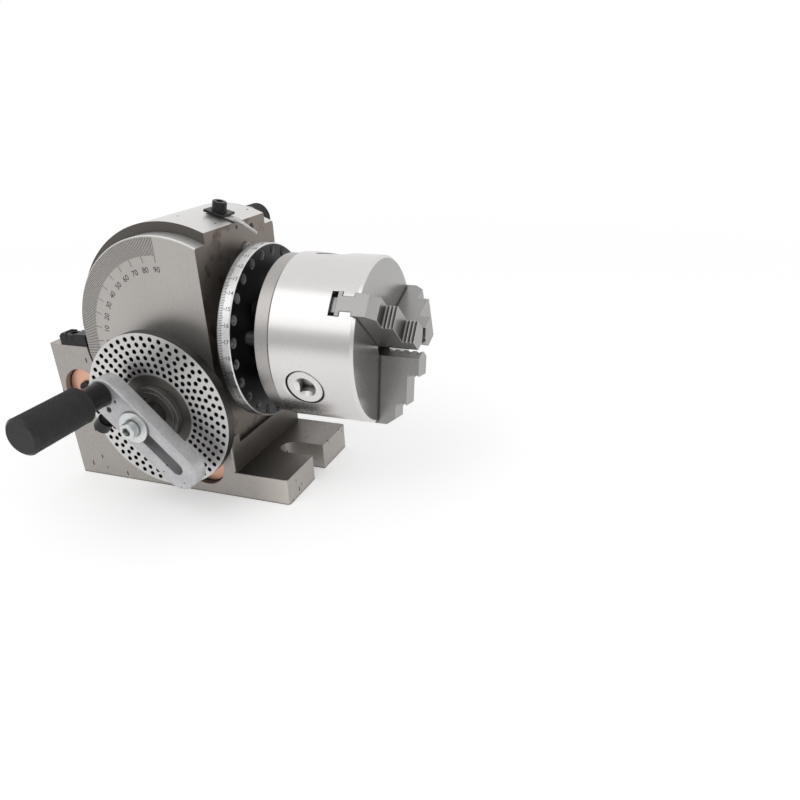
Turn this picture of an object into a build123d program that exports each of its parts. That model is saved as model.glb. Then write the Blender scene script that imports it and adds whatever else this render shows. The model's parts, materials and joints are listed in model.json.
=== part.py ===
# Semi-universal dividing head: base cradle, tilting head, 40:1 worm drive, direct index plate,
# index plate with crank, and a three-jaw scroll chuck on the spindle nose.
# Frame: +Z up, +X along the spindle towards the chuck, the index plate faces -Y.
# The origin is on the base's underside, straight below the tilt axis. All sizes in millimetres.
from math import asin, ceil, cos, pi, radians, sin, sqrt, tan
import os

from build123d import *

# Fits between pieces
run_gap = 0.05            # radial gap of a shaft running in its bearing
slide_gap = 0.2           # side gap of a sliding piece in its slot
loose_gap = 0.3           # gap between faces that pass each other without bearing

# Base
base_front = 69.5
base_width = 91.2
foot_height = 18.0
cheek_thick = 10.4
cheek_drop = 5.5          # of the cheeks' tops below the spindle axis
cradle_front = 32.0
cradle_rear = -56.0
hold_slot_width = 16.6
hold_slot_length = 27.5
key_slot_width = 14.0
key_slot_depth = 4.0
key_slot_length = 42.0
base_chamfer = 1.2

# Tilting head
disc_radius = 65.6
drum_radius = 71.5
head_front = 28.0
head_rear = -64.0
disc_chamfer = 0.9

# Tie bolts that pull the cheeks together: one below the discs and one behind them
lower_tie_x = 9.0
lower_tie_height = 21.0
rear_tie_drop = 36.0      # below the spindle axis
rear_tie_edge = 19.5      # from the rear bolt to the base's rear end
tie_recess_radius = 14.5
tie_recess_depth = 7.6
tie_washer_radius = 13.8
tie_washer_thick = 3.0
tie_bolt_radius = 3.0
tie_head_radius = 4.7
tie_head_height = 3.2
tie_nut_height = 4.0

# Clamp blocks on the rear of the cheeks
block_length = 20.6
block_height = 7.6
block_inset = 0.6
block_screw_back = 12.1    # from the disc
m6_head_radius = 5.0
m6_head_height = 6.0
m6_radius = 3.0
m6_socket = 5.0           # across flats
m6_socket_depth = 3.0

# Spindle and its bearings
spindle_bore_radius = 9.0
front_journal_radius = 20.0
front_bush_radius = 29.0
front_bush_length = 20.0
wheel_seat_radius = 17.0
rear_journal_radius = 16.0
rear_bush_radius = 22.0
rear_bush_span = (-57.0, -36.0)
spindle_rear = -69.0
ring_nut_radius = 22.0
ring_nut_span = (-66.8, -59.0)
flange_radius = 33.0
flange_span = (31.0, 38.2)
nose_radius = 18.0
plate_register_radius = 24.0

# Worm and wheel
worm_x = -4.0
wheel_teeth = 40
gear_module = 1.25
worm_pitch_radius = 10.0
wheel_width = 13.0
worm_length = 25.0
gear_tooth_thick = 1.35   # of wheel tooth and worm thread at the pitch line
gear_addendum = 1.1
gear_dedendum = 1.4
shaft_radius = 7.0
tail_radius = 6.0
tail_span = (13.6, 30.0)
tail_bush_radius = 10.0
tunnel_radius = 15.0
hub_radius = 24.0
hub_face = 58.7           # distance of the hub's end face from the centre plane
spigot_end = 70.5
recess_radius = 11.5
recess_floor = 61.0
collar_radius = 10.5
collar_thick = 6.0

# Index plate and crank
index_radius = 49.7
index_thick = 6.8
hole_circles = [(37, 26.6), (39, 30.6), (41, 34.6), (43, 38.6), (47, 42.6), (49, 46.6)]
index_hole_radius = 1.5
index_screw_circle = 19.6
index_nut_radius = 17.6
index_nut_thick = 4.5
arm_angle = 135.0         # of the plunger end, from +X towards +Z
arm_back = 77.0
arm_thick = 11.0
arm_width = 20.4
arm_low = 37.0            # centre of the far end's round
arm_fillet = 1.2
arm_slot_width = 8.0
arm_slot_low = 34.0
arm_slot_high = 3.4
arm_pinch_place = 12.5
arm_pinch_gap = 3.8
washer_radius = 9.6
washer_thick = 1.6
m6_clear_radius = 3.3

# Index plunger
plunger_nose_radius = 1.25
plunger_nose_length = 2.2
plunger_rest_gap = 0.5    # between the nose and the plate at rest
plunger_pin_radius = 4.5
plunger_stem_radius = 3.0
sleeve_spigot_radius = 6.0
sleeve_radius = 7.3
sleeve_show = 16.5
sleeve_inside = 12.0
plunger_travel = 6.0
knob_radius = 10.8
knob_length = 46.0
spring_wire = 0.9
spring_seat = 2.0
spring_turns = 5

# Direct index plate
direct_radius = 54.0
direct_span = (38.2, 46.8)
direct_holes = 24
direct_circle = 49.5
direct_hole_radius = 3.1
direct_phase = 81.0       # angle of a hole, from +Y towards +Z
direct_screw_circle = 28.5

# Direct index lock: a pin moved along X by an eccentric on a knurled knob
lock_pin_radius = 4.0
lock_tip_radius = 2.85
lock_knob_x = 10.5
lock_knob_rise = 58.8     # above the spindle axis
lock_knob_radius = 9.4
lock_knob_thick = 12.0
lock_throw = 7.0
lock_start = 25.0         # degrees before bottom dead centre at rest
cam_radius = 9.0
cam_pin_radius = 1.5

# Pointer on top of the head
pointer_angle = 76.0      # of its screw, from +X towards +Z about the tilt axis
pointer_washer = 13.5
pointer_width = 4.8
pointer_screw_radius = 1.7
pointer_plate_thick = 1.4
pointer_tip_x = 42.0
pointer_tip_rise = 59.5   # above the spindle axis

# Chuck
chuck_radius = 50.0
chuck_rear = 69.1
chuck_front = 122.0
chuck_bore_radius = 11.0
chuck_hub_radius = 15.0
chuck_chamfer = 1.6
seam_chamfer = 0.6
cavity_radius = 39.5
cavity_front = 108.0
back_plate_radius = 48.8
back_plate_rear = 59.6
back_hub_radius = 26.0
register_radius = 39.2
register_depth = 3.0
chuck_bolt_circle = 88.0
chuck_bolt_radius = 2.9
chuck_bolt_angle = 167.5
jaw_angle = 139.5         # of jaw 1, from +Y towards +Z
pinion_x = 89.0

# Scroll and jaws
scroll_radius = 39.0
scroll_pitch = 6.0
scroll_face = 105.2
scroll_back = 97.0
rib_thick = 2.2
rib_height = 2.5
rib_outer = 37.6
rib_turns = 20            # in sixths of a turn
crown_teeth = 42
pinion_teeth = 8
crown_inner = 30.0
crown_outer = 38.4
crown_mean = 34.0
crown_tooth_thick = 1.45
crown_addendum = 0.8
jaw_tip = 4.5             # radius of the gripping face at rest
jaw_length = 45.5
jaw_width = 13.5
jaw_neck_width = 8.8
jaw_foot_width = 14.4
jaw_foot_rear = 109.4
jaw_foot_front = 111.9
jaw_neck_front = 119.4
jaw_steps = [(18.6, 147.2), (36.8, 140.2), (50.0, 133.3)]   # outer radius and front face of each step
jaw_tooth_thick = 2.0
jaw_tooth_width = 9.0
jaw_tooth_arc = 26.0
grip_notch = 1.7          # depth of the grooves across the gripping face
step_notch = 1.1          # and of those in the steps
pinion_head_radius = 11.8
pinion_head_gap = 0.4
pinion_socket = 9.2

# the tie bolts clear the discs and the drum, and the spindle axis stands above the lower one
lower_tie_drop = max(disc_radius + 13.4, drum_radius + 7.5)
rear_tie_x = -max(disc_radius + 11.4, drum_radius + 5.5)
centre = lower_tie_drop + lower_tie_height
tie_places = [(rear_tie_x, centre - rear_tie_drop), (lower_tie_x, lower_tie_height)]
base_rear = rear_tie_x - rear_tie_edge
block_screw_x = -(disc_radius + loose_gap + block_screw_back)
cheek_top = centre - cheek_drop
half_base = base_width / 2
cheek_inner = half_base - cheek_thick
head_half = half_base                       # the discs stand flush with the cheeks
drum_half = cheek_inner - slide_gap
pitch_radius = gear_module * wheel_teeth / 2
worm_z = centre - pitch_radius - worm_pitch_radius
worm_lead = pi * gear_module
# the housing stops short of where the wheel's rim would cut into it
wheel_over_tunnel = centre - worm_z - tunnel_radius
housing_end = sqrt((pitch_radius + gear_addendum) ** 2 - wheel_over_tunnel ** 2) + 1
index_back = -hub_face
index_front = index_back - index_thick
arm_front = -(arm_back + arm_thick)
bore_place = hole_circles[0][1]             # the plunger serves the innermost circle
jaw_angles = [jaw_angle + 120 * k for k in range(3)]
pinion_angles = [jaw_angle + 60 + 120 * k for k in range(3)]
pinion_pitch_radius = crown_mean * pinion_teeth / crown_teeth
lock_y = direct_circle * cos(radians(direct_phase))
lock_z = centre + direct_circle * sin(radians(direct_phase))
lock_knob_z = centre + lock_knob_rise
pointer_tip_z = centre + pointer_tip_rise


def rod_x(r, x0, x1, y=0.0, z=centre):
    return Pos((x0 + x1) / 2, y, z) * Rot(0, 90, 0) * Cylinder(r, abs(x1 - x0))


def rod_y(r, y0, y1, x=0.0, z=centre):
    return Pos(x, (y0 + y1) / 2, z) * Rot(90, 0, 0) * Cylinder(r, abs(y1 - y0))


def rod_z(r, z0, z1, x=0.0, y=0.0):
    return Pos(x, y, (z0 + z1) / 2) * Cylinder(r, abs(z1 - z0))


def block(x0, x1, y0, y1, z0, z1):
    return Pos((x0 + x1) / 2, (y0 + y1) / 2, (z0 + z1) / 2) * Box(abs(x1 - x0), abs(y1 - y0), abs(z1 - z0))


def hexagon(flats, height):
    return extrude(RegularPolygon(flats / 2, 6, major_radius=False), height)


def around(shape, angle):
    """Turn a piece about the spindle axis, from +Y towards +Z."""
    return Pos(0, 0, centre) * Rot(angle, 0, 0) * Pos(0, 0, -centre) * shape


def radial(shape, angle, x):
    """Stand a piece drawn along +Z on a spindle radius at an angle from +Y towards +Z."""
    return Pos(x, 0, centre) * Rot(angle - 90, 0, 0) * shape


def on_arm(shape):
    """Place a piece drawn with +X along the crank arm and +Z towards the operator."""
    return Pos(worm_x, 0, worm_z) * Rot(0, -arm_angle, 0) * Rot(90, 0, 0) * shape


def cap_screw(head_r, head_h, shank_r, shank_l, socket, socket_depth):
    """Socket head screw along Z: the seat is at z = 0 and the head rises above it."""
    head = Pos(0, 0, head_h / 2) * Cylinder(head_r, head_h)
    head = chamfer(head.edges().group_by(Axis.Z)[-1], 0.5)
    head -= Pos(0, 0, head_h - socket_depth) * hexagon(socket, socket_depth)
    return head + Pos(0, 0, -shank_l / 2) * Cylinder(shank_r, shank_l)


def m6_screw(length):
    return cap_screw(m6_head_radius, m6_head_height, m6_radius, length, m6_socket, m6_socket_depth)


def u_slot(end_x, length, width, height):
    """Open-ended slot cut into the foot from one end, with a round inner end."""
    towards = -1 if end_x > 0 else 1
    stop = end_x + towards * (length - width / 2)
    cut = block(min(end_x - towards, stop), max(end_x - towards, stop), -width / 2, width / 2, -1, height)
    return cut + rod_z(width / 2, -1, height, stop)


def base():
    foot = block(base_rear, base_front, -half_base, half_base, 0, foot_height)
    cheeks = block(base_rear, cradle_front, -half_base, half_base, 0, cheek_top)
    cheeks -= block(base_rear - 1, cradle_front + 1, -cheek_inner, cheek_inner, foot_height, cheek_top + 1)
    saddle = block(cradle_rear, cradle_front, -half_base, half_base, 0, centre)
    body = foot + cheeks + saddle
    body -= rod_y(disc_radius + loose_gap, -half_base - 1, half_base + 1)
    body -= rod_y(drum_radius + loose_gap, -cheek_inner, cheek_inner)
    body -= block(base_rear - 1, cradle_front + 1, -half_base - 1, half_base + 1, cheek_top, centre + 1)
    upright = body.edges().filter_by(Axis.Z)
    ends = [e for e in upright if abs(abs(e.center().Y) - half_base) < 0.1]
    body = chamfer(ends, base_chamfer)
    for end_x in (base_front, base_rear):
        body -= u_slot(end_x, hold_slot_length, hold_slot_width, foot_height + 1)
    for end_x, stop in ((base_front, base_front - key_slot_length), (base_rear, base_rear + key_slot_length)):
        body -= block(end_x, stop, -key_slot_width / 2, key_slot_width / 2, -1, key_slot_depth)
    for x, z in tie_places:
        body -= rod_y(m6_clear_radius, -half_base - 1, half_base + 1, x, z)
        for side in (-1, 1):
            body -= rod_y(tie_recess_radius, side * half_base, side * (half_base - tie_recess_depth), x, z)
    for side in (-1, 1):
        body -= rod_z(m6_radius, cheek_top - 18, cheek_top + 1, block_screw_x, side * block_y())
    return body


def block_y():
    return (cheek_inner + half_base) / 2


def tie_washers():
    rings = []
    seat = half_base - tie_recess_depth
    for x, z in tie_places:
        for side in (-1, 1):
            ring = rod_y(tie_washer_radius, side * seat, side * (seat + tie_washer_thick), x, z)
            rings.append(ring - rod_y(m6_clear_radius, -half_base, half_base, x, z))
    return Compound(children=rings)


def tie_bolts():
    seat = half_base - tie_recess_depth + tie_washer_thick
    bolt = cap_screw(tie_head_radius, tie_head_height, tie_bolt_radius, 2 * seat + tie_nut_height, 4.0, 1.8)
    return Compound(children=[Pos(x, -seat, z) * Rot(90, 0, 0) * bolt for x, z in tie_places])


def tie_nuts():
    seat = half_base - tie_recess_depth + tie_washer_thick
    nut = hexagon(10.0, tie_nut_height) - Cylinder(tie_bolt_radius, 4 * tie_nut_height)
    return Compound(children=[Pos(x, seat, z) * Rot(-90, 0, 0) * nut for x, z in tie_places])


def clamp_block(side):
    nose = -disc_radius - loose_gap
    body = block(nose - block_length, 0, cheek_inner + loose_gap, half_base - block_inset, cheek_top,
                 cheek_top + block_height)
    body -= rod_y(disc_radius + loose_gap, 0, half_base)
    ends = [e for e in body.edges().filter_by(Axis.Y) if e.center().X < nose - block_length + 1]
    body = chamfer([e for e in ends if e.center().Z > cheek_top + 1], 2.0)
    body -= rod_z(m6_head_radius + slide_gap, cheek_top + 3.4, centre + 9, block_screw_x, block_y())
    body -= rod_z(m6_clear_radius, cheek_top - 1, centre + 9, block_screw_x, block_y())
    return body if side > 0 else mirror(body, Plane.XZ)


def clamp_blocks():
    return Compound(children=[clamp_block(-1), clamp_block(1)])


def clamp_screws():
    seat = cheek_top + 3.4
    screw = cap_screw(m6_head_radius, 3.6, m6_radius, 16, m6_socket, 2.2)
    return Compound(children=[Pos(block_screw_x, side * block_y(), seat) * screw for side in (-1, 1)])


def head_casting():
    body = rod_y(drum_radius, -drum_half, drum_half)
    for side in (-1, 1):
        disc = rod_y(disc_radius, side * (drum_half - 1), side * head_half)
        rim = [e for e in disc.edges().filter_by(GeomType.CIRCLE) if abs(e.center().Y) > head_half - 0.1]
        body += chamfer(rim, disc_chamfer)
    body = body & block(head_rear, head_front, -head_half, head_half, 0, 2 * centre)
    # bearing bores: the wide front one takes the wheel, the rear one ends in the ring nut's recess
    wheel_room = worm_x - wheel_width / 2 - 3
    body -= rod_x(front_bush_radius, wheel_room, head_front + 1)
    body -= rod_x(rear_bush_radius, rear_bush_span[0], wheel_room + 1)
    body -= rod_x(ring_nut_radius + 1, head_rear - 1, rear_bush_span[0])
    # worm tunnel, and the tail bearing's blind seat
    body -= rod_y(tunnel_radius, -head_half - 1, tail_span[0], worm_x, worm_z)
    body -= rod_y(tail_bush_radius, 0, tail_span[1] + 2, worm_x, worm_z)
    # direct index lock
    body -= rod_x(lock_pin_radius + run_gap, -2, head_front + 1, lock_y, lock_z)
    body -= rod_y(cam_radius + run_gap, lock_y - lock_pin_radius + 0.6, head_half + 1, lock_knob_x, lock_knob_z)
    # oil hole and a small pin hole in the front face, and the pointer screw's hole
    for r, y, rise in [(2.5, 18.3, 60.0), (1.2, 1.0, 63.0)]:
        body -= rod_x(r, head_front - 7, head_front + 1, y, centre + rise)
    body -= on_pointer(rod_z(pointer_screw_radius, drum_radius - 12, drum_radius + 2))
    return body


def on_pointer(shape):
    """Stand a piece drawn along +Z on the drum at the pointer's angle."""
    return Pos(0, 0, centre) * Rot(0, 90 - pointer_angle, 0) * shape


def front_bush():
    ring = rod_x(front_bush_radius, head_front - front_bush_length, head_front)
    return ring - rod_x(front_journal_radius + run_gap, 0, head_front + 1)


def rear_bush():
    ring = rod_x(rear_bush_radius, *rear_bush_span)
    return ring - rod_x(rear_journal_radius + run_gap, rear_bush_span[0] - 1, rear_bush_span[1] + 1)


def spindle():
    bush_rear = head_front - front_bush_length
    wheel_rear = worm_x - wheel_width / 2
    body = rod_x(rear_journal_radius, ring_nut_span[0], wheel_rear)
    body += rod_x(rear_journal_radius - 1.5, spindle_rear, ring_nut_span[0])
    body += rod_x(wheel_seat_radius, wheel_rear, bush_rear - 1)
    body += rod_x(front_journal_radius, bush_rear - 1, flange_span[0])
    body += rod_x(flange_radius, *flange_span)
    body += rod_x(plate_register_radius, flange_span[1], direct_span[1])
    body += rod_x(nose_radius, direct_span[1], chuck_rear - 0.6)
    body -= rod_x(spindle_bore_radius, spindle_rear - 1, chuck_rear + 1)
    return body


def ring_nut():
    nut = rod_x(ring_nut_radius, *ring_nut_span)
    nut -= rod_x(rear_journal_radius, ring_nut_span[0] - 1, ring_nut_span[1] + 1)
    slot = block(ring_nut_span[0] - 1, ring_nut_span[0] + 4, -2.5, 2.5, centre + ring_nut_radius - 3, centre + 40)
    for k in range(4):
        nut -= around(slot, 45 + 90 * k)
    return nut


def tooth_outline(count, pitch_r, thick, addendum, dedendum, flank=20.0):
    """Closed outline of straight-flanked teeth, with the middle of a gap on the local X axis."""
    lean = tan(radians(flank))
    rings = [(pitch_r - dedendum, thick / 2 + dedendum * lean), (pitch_r + addendum, thick / 2 - addendum * lean)]
    points = []
    for k in range(count):
        middle = 2 * pi * (k + 0.5) / count
        for r, half in (rings[0], rings[1]):
            points.append((r, middle - asin(half / r)))
        for r, half in (rings[1], rings[0]):
            points.append((r, middle + asin(half / r)))
    return make_face(Polyline([(r * cos(a), r * sin(a)) for r, a in points], close=True))


def worm_wheel():
    outline = tooth_outline(wheel_teeth, pitch_radius, gear_tooth_thick, gear_addendum, gear_dedendum)
    blank = extrude(outline, wheel_width) - Cylinder(wheel_seat_radius, 4 * wheel_width)
    # local X points down at the worm, so that a gap faces the thread
    return Pos(worm_x + wheel_width / 2, 0, centre) * Rot(0, -90, 0) * Rot(0, 0, 180) * blank


def worm_thread():
    """One-start right-hand thread along Z whose crest stands at z = 0 on the local -Y side."""
    turns = ceil(worm_length / worm_lead) + 1
    root = worm_pitch_radius - gear_dedendum - 0.3
    helix = Helix(worm_lead, turns * worm_lead, root)
    lean = tan(radians(20))
    low = gear_tooth_thick / 2 + (gear_dedendum + 0.3) * lean
    high = gear_tooth_thick / 2 - gear_addendum * lean
    top = gear_addendum + gear_dedendum + 0.3
    points = [(0, -low), (0, low), (top, high), (top, -high)]
    section = Plane(origin=(root, 0, 0), x_dir=(1, 0, 0), z_dir=(0, 1, 0)) * make_face(
        Polyline([(x, -y) for x, y in points], close=True))
    thread = sweep(section, path=helix, is_frenet=True)
    start = worm_lead * (0.25 - ceil(turns / 2))
    return (Pos(0, 0, start) * thread) & Cylinder(worm_pitch_radius + 3, worm_length)


def worm_shaft():
    body = rod_y(shaft_radius, -arm_back, -worm_length / 2, worm_x, worm_z)
    body += rod_y(worm_pitch_radius - gear_dedendum, -worm_length / 2, worm_length / 2, worm_x, worm_z)
    body += rod_y(tail_radius, worm_length / 2, tail_span[1], worm_x, worm_z)
    body += Pos(worm_x, 0, worm_z) * Rot(-90, 0, 0) * worm_thread()
    across = arm_slot_width - slide_gap
    tenon = Pos(arm_slot_high / 2 - shaft_radius / 2, 0) * Rectangle(arm_slot_high + shaft_radius, across)
    tenon += Pos(arm_slot_high, 0) * Circle(across / 2)
    tenon = extrude(tenon & Circle(shaft_radius), arm_thick - 0.4)
    body += on_arm(Pos(0, 0, arm_back) * tenon)
    return body - on_arm(Pos(0, 0, arm_back + arm_thick) * Cylinder(m6_radius, 28))


def tail_bush():
    ring = rod_y(tail_bush_radius, tail_span[0] + 0.4, tail_span[1] + 2, worm_x, worm_z)
    return ring - rod_y(tail_radius + run_gap, 0, tail_span[1] + loose_gap, worm_x, worm_z)


def worm_housing():
    body = rod_y(tunnel_radius, -head_half, -housing_end, worm_x, worm_z)
    body += rod_y(hub_radius, index_back, -head_half, worm_x, worm_z)
    body += rod_y(tunnel_radius, -spigot_end, index_back, worm_x, worm_z)
    body -= rod_y(shaft_radius + run_gap, -spigot_end - 1, 0, worm_x, worm_z)
    body -= rod_y(recess_radius, -spigot_end - 1, -recess_floor, worm_x, worm_z)
    for x, z in index_screw_places():
        body -= rod_y(2.0, index_back - 1, index_back + 9, x, z)
    return body


def index_screw_places():
    angles = [radians(a) for a in (118, 238, 358)]
    return [(worm_x + index_screw_circle * cos(a), worm_z + index_screw_circle * sin(a)) for a in angles]


def thrust_collar():
    ring = rod_y(collar_radius, -recess_floor - loose_gap, -recess_floor - loose_gap - collar_thick, worm_x, worm_z)
    return ring - rod_y(shaft_radius, -arm_back, 0, worm_x, worm_z)


def index_plate():
    """Plate with six circles of holes. Each hole is cut six-sided, to keep the facets few."""
    face = Circle(index_radius) - Circle(tunnel_radius)
    places = []
    for count, circle in hole_circles:
        for k in range(count):
            a = radians(arm_angle) + 2 * pi * k / count
            places.append((circle * cos(a), circle * sin(a)))
    holes = [Pos(x, y) * RegularPolygon(index_hole_radius, 6) for x, y in places]
    plate = extrude(face - holes, index_thick)
    plate = Pos(worm_x, index_back, worm_z) * Rot(90, 0, 0) * plate
    for x, z in index_screw_places():
        plate -= rod_y(2.1, index_front - 1, index_back + 1, x, z)
        plate -= Pos(x, index_front + 1.2, z) * Rot(90, 0, 0) * Cone(2.1, 4.1, 2.4)
    return plate


def index_screws():
    shank = Pos(0, 0, -6) * Cylinder(2.0, 8)
    screw = shank + Pos(0, 0, -1.25) * Cone(2.0, 3.9, 2.2) - Pos(0, 0, -1.6) * hexagon(2.5, 2)
    return Compound(children=[Pos(x, index_front, z) * Rot(90, 0, 0) * screw for x, z in index_screw_places()])


def index_nut():
    ring = rod_y(index_nut_radius, index_front, index_front - index_nut_thick, worm_x, worm_z)
    return ring - rod_y(tunnel_radius, index_front - index_nut_thick - 1, index_front + 1, worm_x, worm_z)


def crank_arm():
    high = bore_place - 2
    outline = Pos(high, 0) * Circle(arm_width / 2) + Pos(-arm_low, 0) * Circle(arm_width / 2)
    outline += Pos((high - arm_low) / 2, 0) * Rectangle(high + arm_low, arm_width)
    slot = Pos(arm_slot_high, 0) * Circle(arm_slot_width / 2) + Pos(-arm_slot_low, 0) * Circle(arm_slot_width / 2)
    slot += Pos((arm_slot_high - arm_slot_low) / 2, 0) * Rectangle(arm_slot_high + arm_slot_low, arm_slot_width)
    arm = extrude(outline, arm_thick)
    arm = fillet(arm.edges().group_by(Axis.Z)[-1], arm_fillet)
    arm -= extrude(slot, arm_thick)
    arm -= Pos(bore_place, 0, 0) * Cylinder(sleeve_spigot_radius, 4 * arm_thick)
    arm -= Pos(arm_pinch_place, arm_width / 4, arm_thick / 2) * Rot(90, 0, 0) * Cylinder(m6_radius, arm_width / 2)
    for along, across in [(18.0, 3.7), (17.0, -2.0)]:
        arm -= Pos(along, across, arm_thick) * Cylinder(0.8, 4)
    return on_arm(Pos(0, 0, arm_back) * arm)


def arm_washer():
    ring = Cylinder(washer_radius, washer_thick) - Cylinder(m6_clear_radius, 2 * washer_thick)
    return on_arm(Pos(0, 0, -arm_front + washer_thick / 2) * ring)


def arm_screw():
    return on_arm(Pos(0, 0, -arm_front + washer_thick) * m6_screw(14))


def pinch_screw():
    screw = cap_screw(m6_head_radius, 5.4, m6_radius, arm_pinch_gap + 8, m6_socket, m6_socket_depth)
    place = Pos(arm_pinch_place, arm_width / 2 + arm_pinch_gap, arm_back + arm_thick / 2)
    return on_arm(place * Rot(-90, 0, 0) * screw)


def along_plunger(shape):
    """Place a piece drawn along Z, with z = 0 at the arm's front face and +Z towards the operator."""
    return on_arm(Pos(bore_place, 0, -arm_front) * shape)


def plunger_sleeve():
    body = Pos(0, 0, -arm_thick / 2) * Cylinder(sleeve_spigot_radius, arm_thick)
    length = sleeve_show + sleeve_inside
    body += Pos(0, 0, length / 2) * Cylinder(sleeve_radius, length)
    # the bore narrows at the outer end, so that the spring has a seat
    body -= rod_z(plunger_pin_radius + run_gap, -arm_thick - 1, length - spring_seat)
    return along_plunger(body - rod_z(plunger_stem_radius + run_gap, 0, length + 1))


def plunger_pin():
    tip = -arm_front + index_front - plunger_rest_gap
    shoulder = -tip + plunger_nose_length
    taper = (plunger_pin_radius - plunger_nose_radius) / tan(radians(30))
    end = sleeve_show + sleeve_inside + plunger_travel + 6
    body = Pos(0, 0, (shoulder - tip) / 2) * Cylinder(plunger_nose_radius, shoulder + tip)
    body += Pos(0, 0, shoulder + taper / 2) * Cone(plunger_nose_radius, plunger_pin_radius, taper)
    stem = sleeve_show
    body += Pos(0, 0, (shoulder + taper + stem) / 2) * Cylinder(plunger_pin_radius, stem - shoulder - taper)
    body += Pos(0, 0, (stem + end) / 2) * Cylinder(plunger_stem_radius, end - stem)
    return along_plunger(body)


def plunger_knob():
    depth = sleeve_inside + plunger_travel + 0.5
    body = Cylinder(knob_radius, knob_length)
    body = chamfer(body.edges().group_by(Axis.Z)[0], 1.6)
    body = fillet(body.edges().group_by(Axis.Z)[-1], 2.5)
    body = Pos(0, 0, knob_length / 2) * body
    body -= Pos(0, 0, depth / 2) * Cylinder(sleeve_radius + loose_gap, depth)
    pin_end = sleeve_inside + plunger_travel + 6
    body -= Pos(0, 0, pin_end / 2) * Cylinder(plunger_stem_radius, pin_end)
    body -= Pos(0, 0, knob_length - 7) * Rot(0, 90, 0) * Cylinder(1.2, 4 * knob_radius)
    return along_plunger(Pos(0, 0, sleeve_show) * body)


def plunger_spring():
    """Spring between the pin's shoulder and the sleeve, drawn as closed rings one pitch apart."""
    inner = plunger_stem_radius + loose_gap
    room = sleeve_inside - spring_seat - 2 * spring_wire
    rings = []
    for k in range(spring_turns):
        z = sleeve_show + spring_wire + room * k / (spring_turns - 1)
        ring = Cylinder(inner + spring_wire, spring_wire) - Cylinder(inner, 2 * spring_wire)
        rings.append(along_plunger(Pos(0, 0, z) * ring))
    return Compound(children=rings)


def direct_plate():
    face = Circle(direct_radius) - Circle(plate_register_radius)
    holes = []
    for k in range(direct_holes):
        holes.append(Rot(0, 0, direct_phase + 360 * k / direct_holes) * Pos(direct_circle, 0) * Circle(direct_hole_radius))
    for k in range(4):
        holes.append(Rot(0, 0, 45 + 90 * k) * Pos(direct_screw_circle, 0) * Circle(2.6))
    plate = extrude(face - holes, direct_span[1] - direct_span[0])
    plate = chamfer([e for e in plate.edges().filter_by(GeomType.CIRCLE) if e.radius > direct_radius - 1], 0.6)
    return spindle_plane(direct_span[0]) * plate


def spindle_plane(x):
    """Sketches drawn here have local X along +Y and local Y along +Z, and extrude towards +X."""
    return Location(Plane(origin=(x, 0, centre), x_dir=(0, 1, 0), z_dir=(1, 0, 0)))


def direct_screws():
    screw = cap_screw(4.2, 4.0, 2.5, 14, 4.0, 2.0)
    places = [Rot(0, 0, 45 + 90 * k) * Pos(direct_screw_circle, 0) for k in range(4)]
    return Compound(children=[spindle_plane(direct_span[1]) * place * screw for place in places])


def index_flange_holes():
    return [around(rod_x(2.5, flange_span[0] - 1, direct_span[1], direct_screw_circle, centre), 45 + 90 * k)
            for k in range(4)]


def back_plate():
    body = rod_x(back_plate_radius, back_plate_rear, chuck_rear)
    body = chamfer(body.edges().filter_by(GeomType.CIRCLE), seam_chamfer)
    body += rod_x(back_hub_radius, direct_span[1] + 4.4, back_plate_rear)
    body += rod_x(register_radius, chuck_rear, chuck_rear + register_depth)
    body -= rod_x(nose_radius, direct_span[1], chuck_rear + 9)
    body -= rod_x(chuck_hub_radius + 1, chuck_rear, chuck_rear + 9)
    for k in range(3):
        body -= chuck_bolt_hole(k)
    return body


def chuck_bolt_hole(k):
    y = chuck_bolt_circle / 2
    return around(rod_x(chuck_bolt_radius, back_plate_rear - 1, chuck_rear + 14, y), chuck_bolt_angle + 120 * k)


def chuck_bolts():
    bolt = cap_screw(4.4, 6.0, chuck_bolt_radius, chuck_rear - back_plate_rear + 12, 4.0, 2.5)
    bolts = []
    for k in range(3):
        placed = Pos(back_plate_rear, chuck_bolt_circle / 2, centre) * Rot(0, -90, 0) * bolt
        bolts.append(around(placed, chuck_bolt_angle + 120 * k))
    return Compound(children=bolts)


def jaw_slot():
    """T-slot for jaw 1, drawn along +Y at the spindle height."""
    far = chuck_radius + 2
    foot = jaw_foot_width / 2 + slide_gap
    neck = jaw_neck_width / 2 + slide_gap
    top = jaw_width / 2 + slide_gap
    cut = block(scroll_face + 0.2, jaw_foot_front + loose_gap, 0, far, centre - foot, centre + foot)
    cut += block(scroll_face + 0.2, chuck_front + 1, 0, far, centre - neck, centre + neck)
    return cut + block(jaw_neck_front - loose_gap, chuck_front + 1, 0, far, centre - top, centre + top)


def chuck_body():
    body = rod_x(chuck_radius, chuck_rear, chuck_front)
    body = chamfer(body.edges().filter_by(GeomType.CIRCLE).sort_by(Axis.X)[-1], chuck_chamfer)
    body = chamfer(body.edges().filter_by(GeomType.CIRCLE).sort_by(Axis.X)[0], seam_chamfer)
    body -= rod_x(cavity_radius, chuck_rear - 1, cavity_front)
    body += rod_x(chuck_hub_radius, chuck_rear + 4, cavity_front)
    body -= rod_x(chuck_bore_radius, chuck_rear, chuck_front + 1)
    for a in jaw_angles:
        body -= around(jaw_slot(), a)
    for a in pinion_angles:
        body -= radial(rod_z(pinion_head_radius + pinion_head_gap, 40.9, chuck_radius + 2), a, pinion_x)
        body -= radial(Pos(0, 0, 35) * Cylinder(pinion_tip_radius() + 0.5, 22), a, pinion_x)
        body -= radial(Pos(0, 0, chuck_radius) * Cone(pinion_head_radius, pinion_head_radius + 2.6, 2.6), a, pinion_x)
    for k in range(3):
        body -= chuck_bolt_hole(k)
    return body


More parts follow.
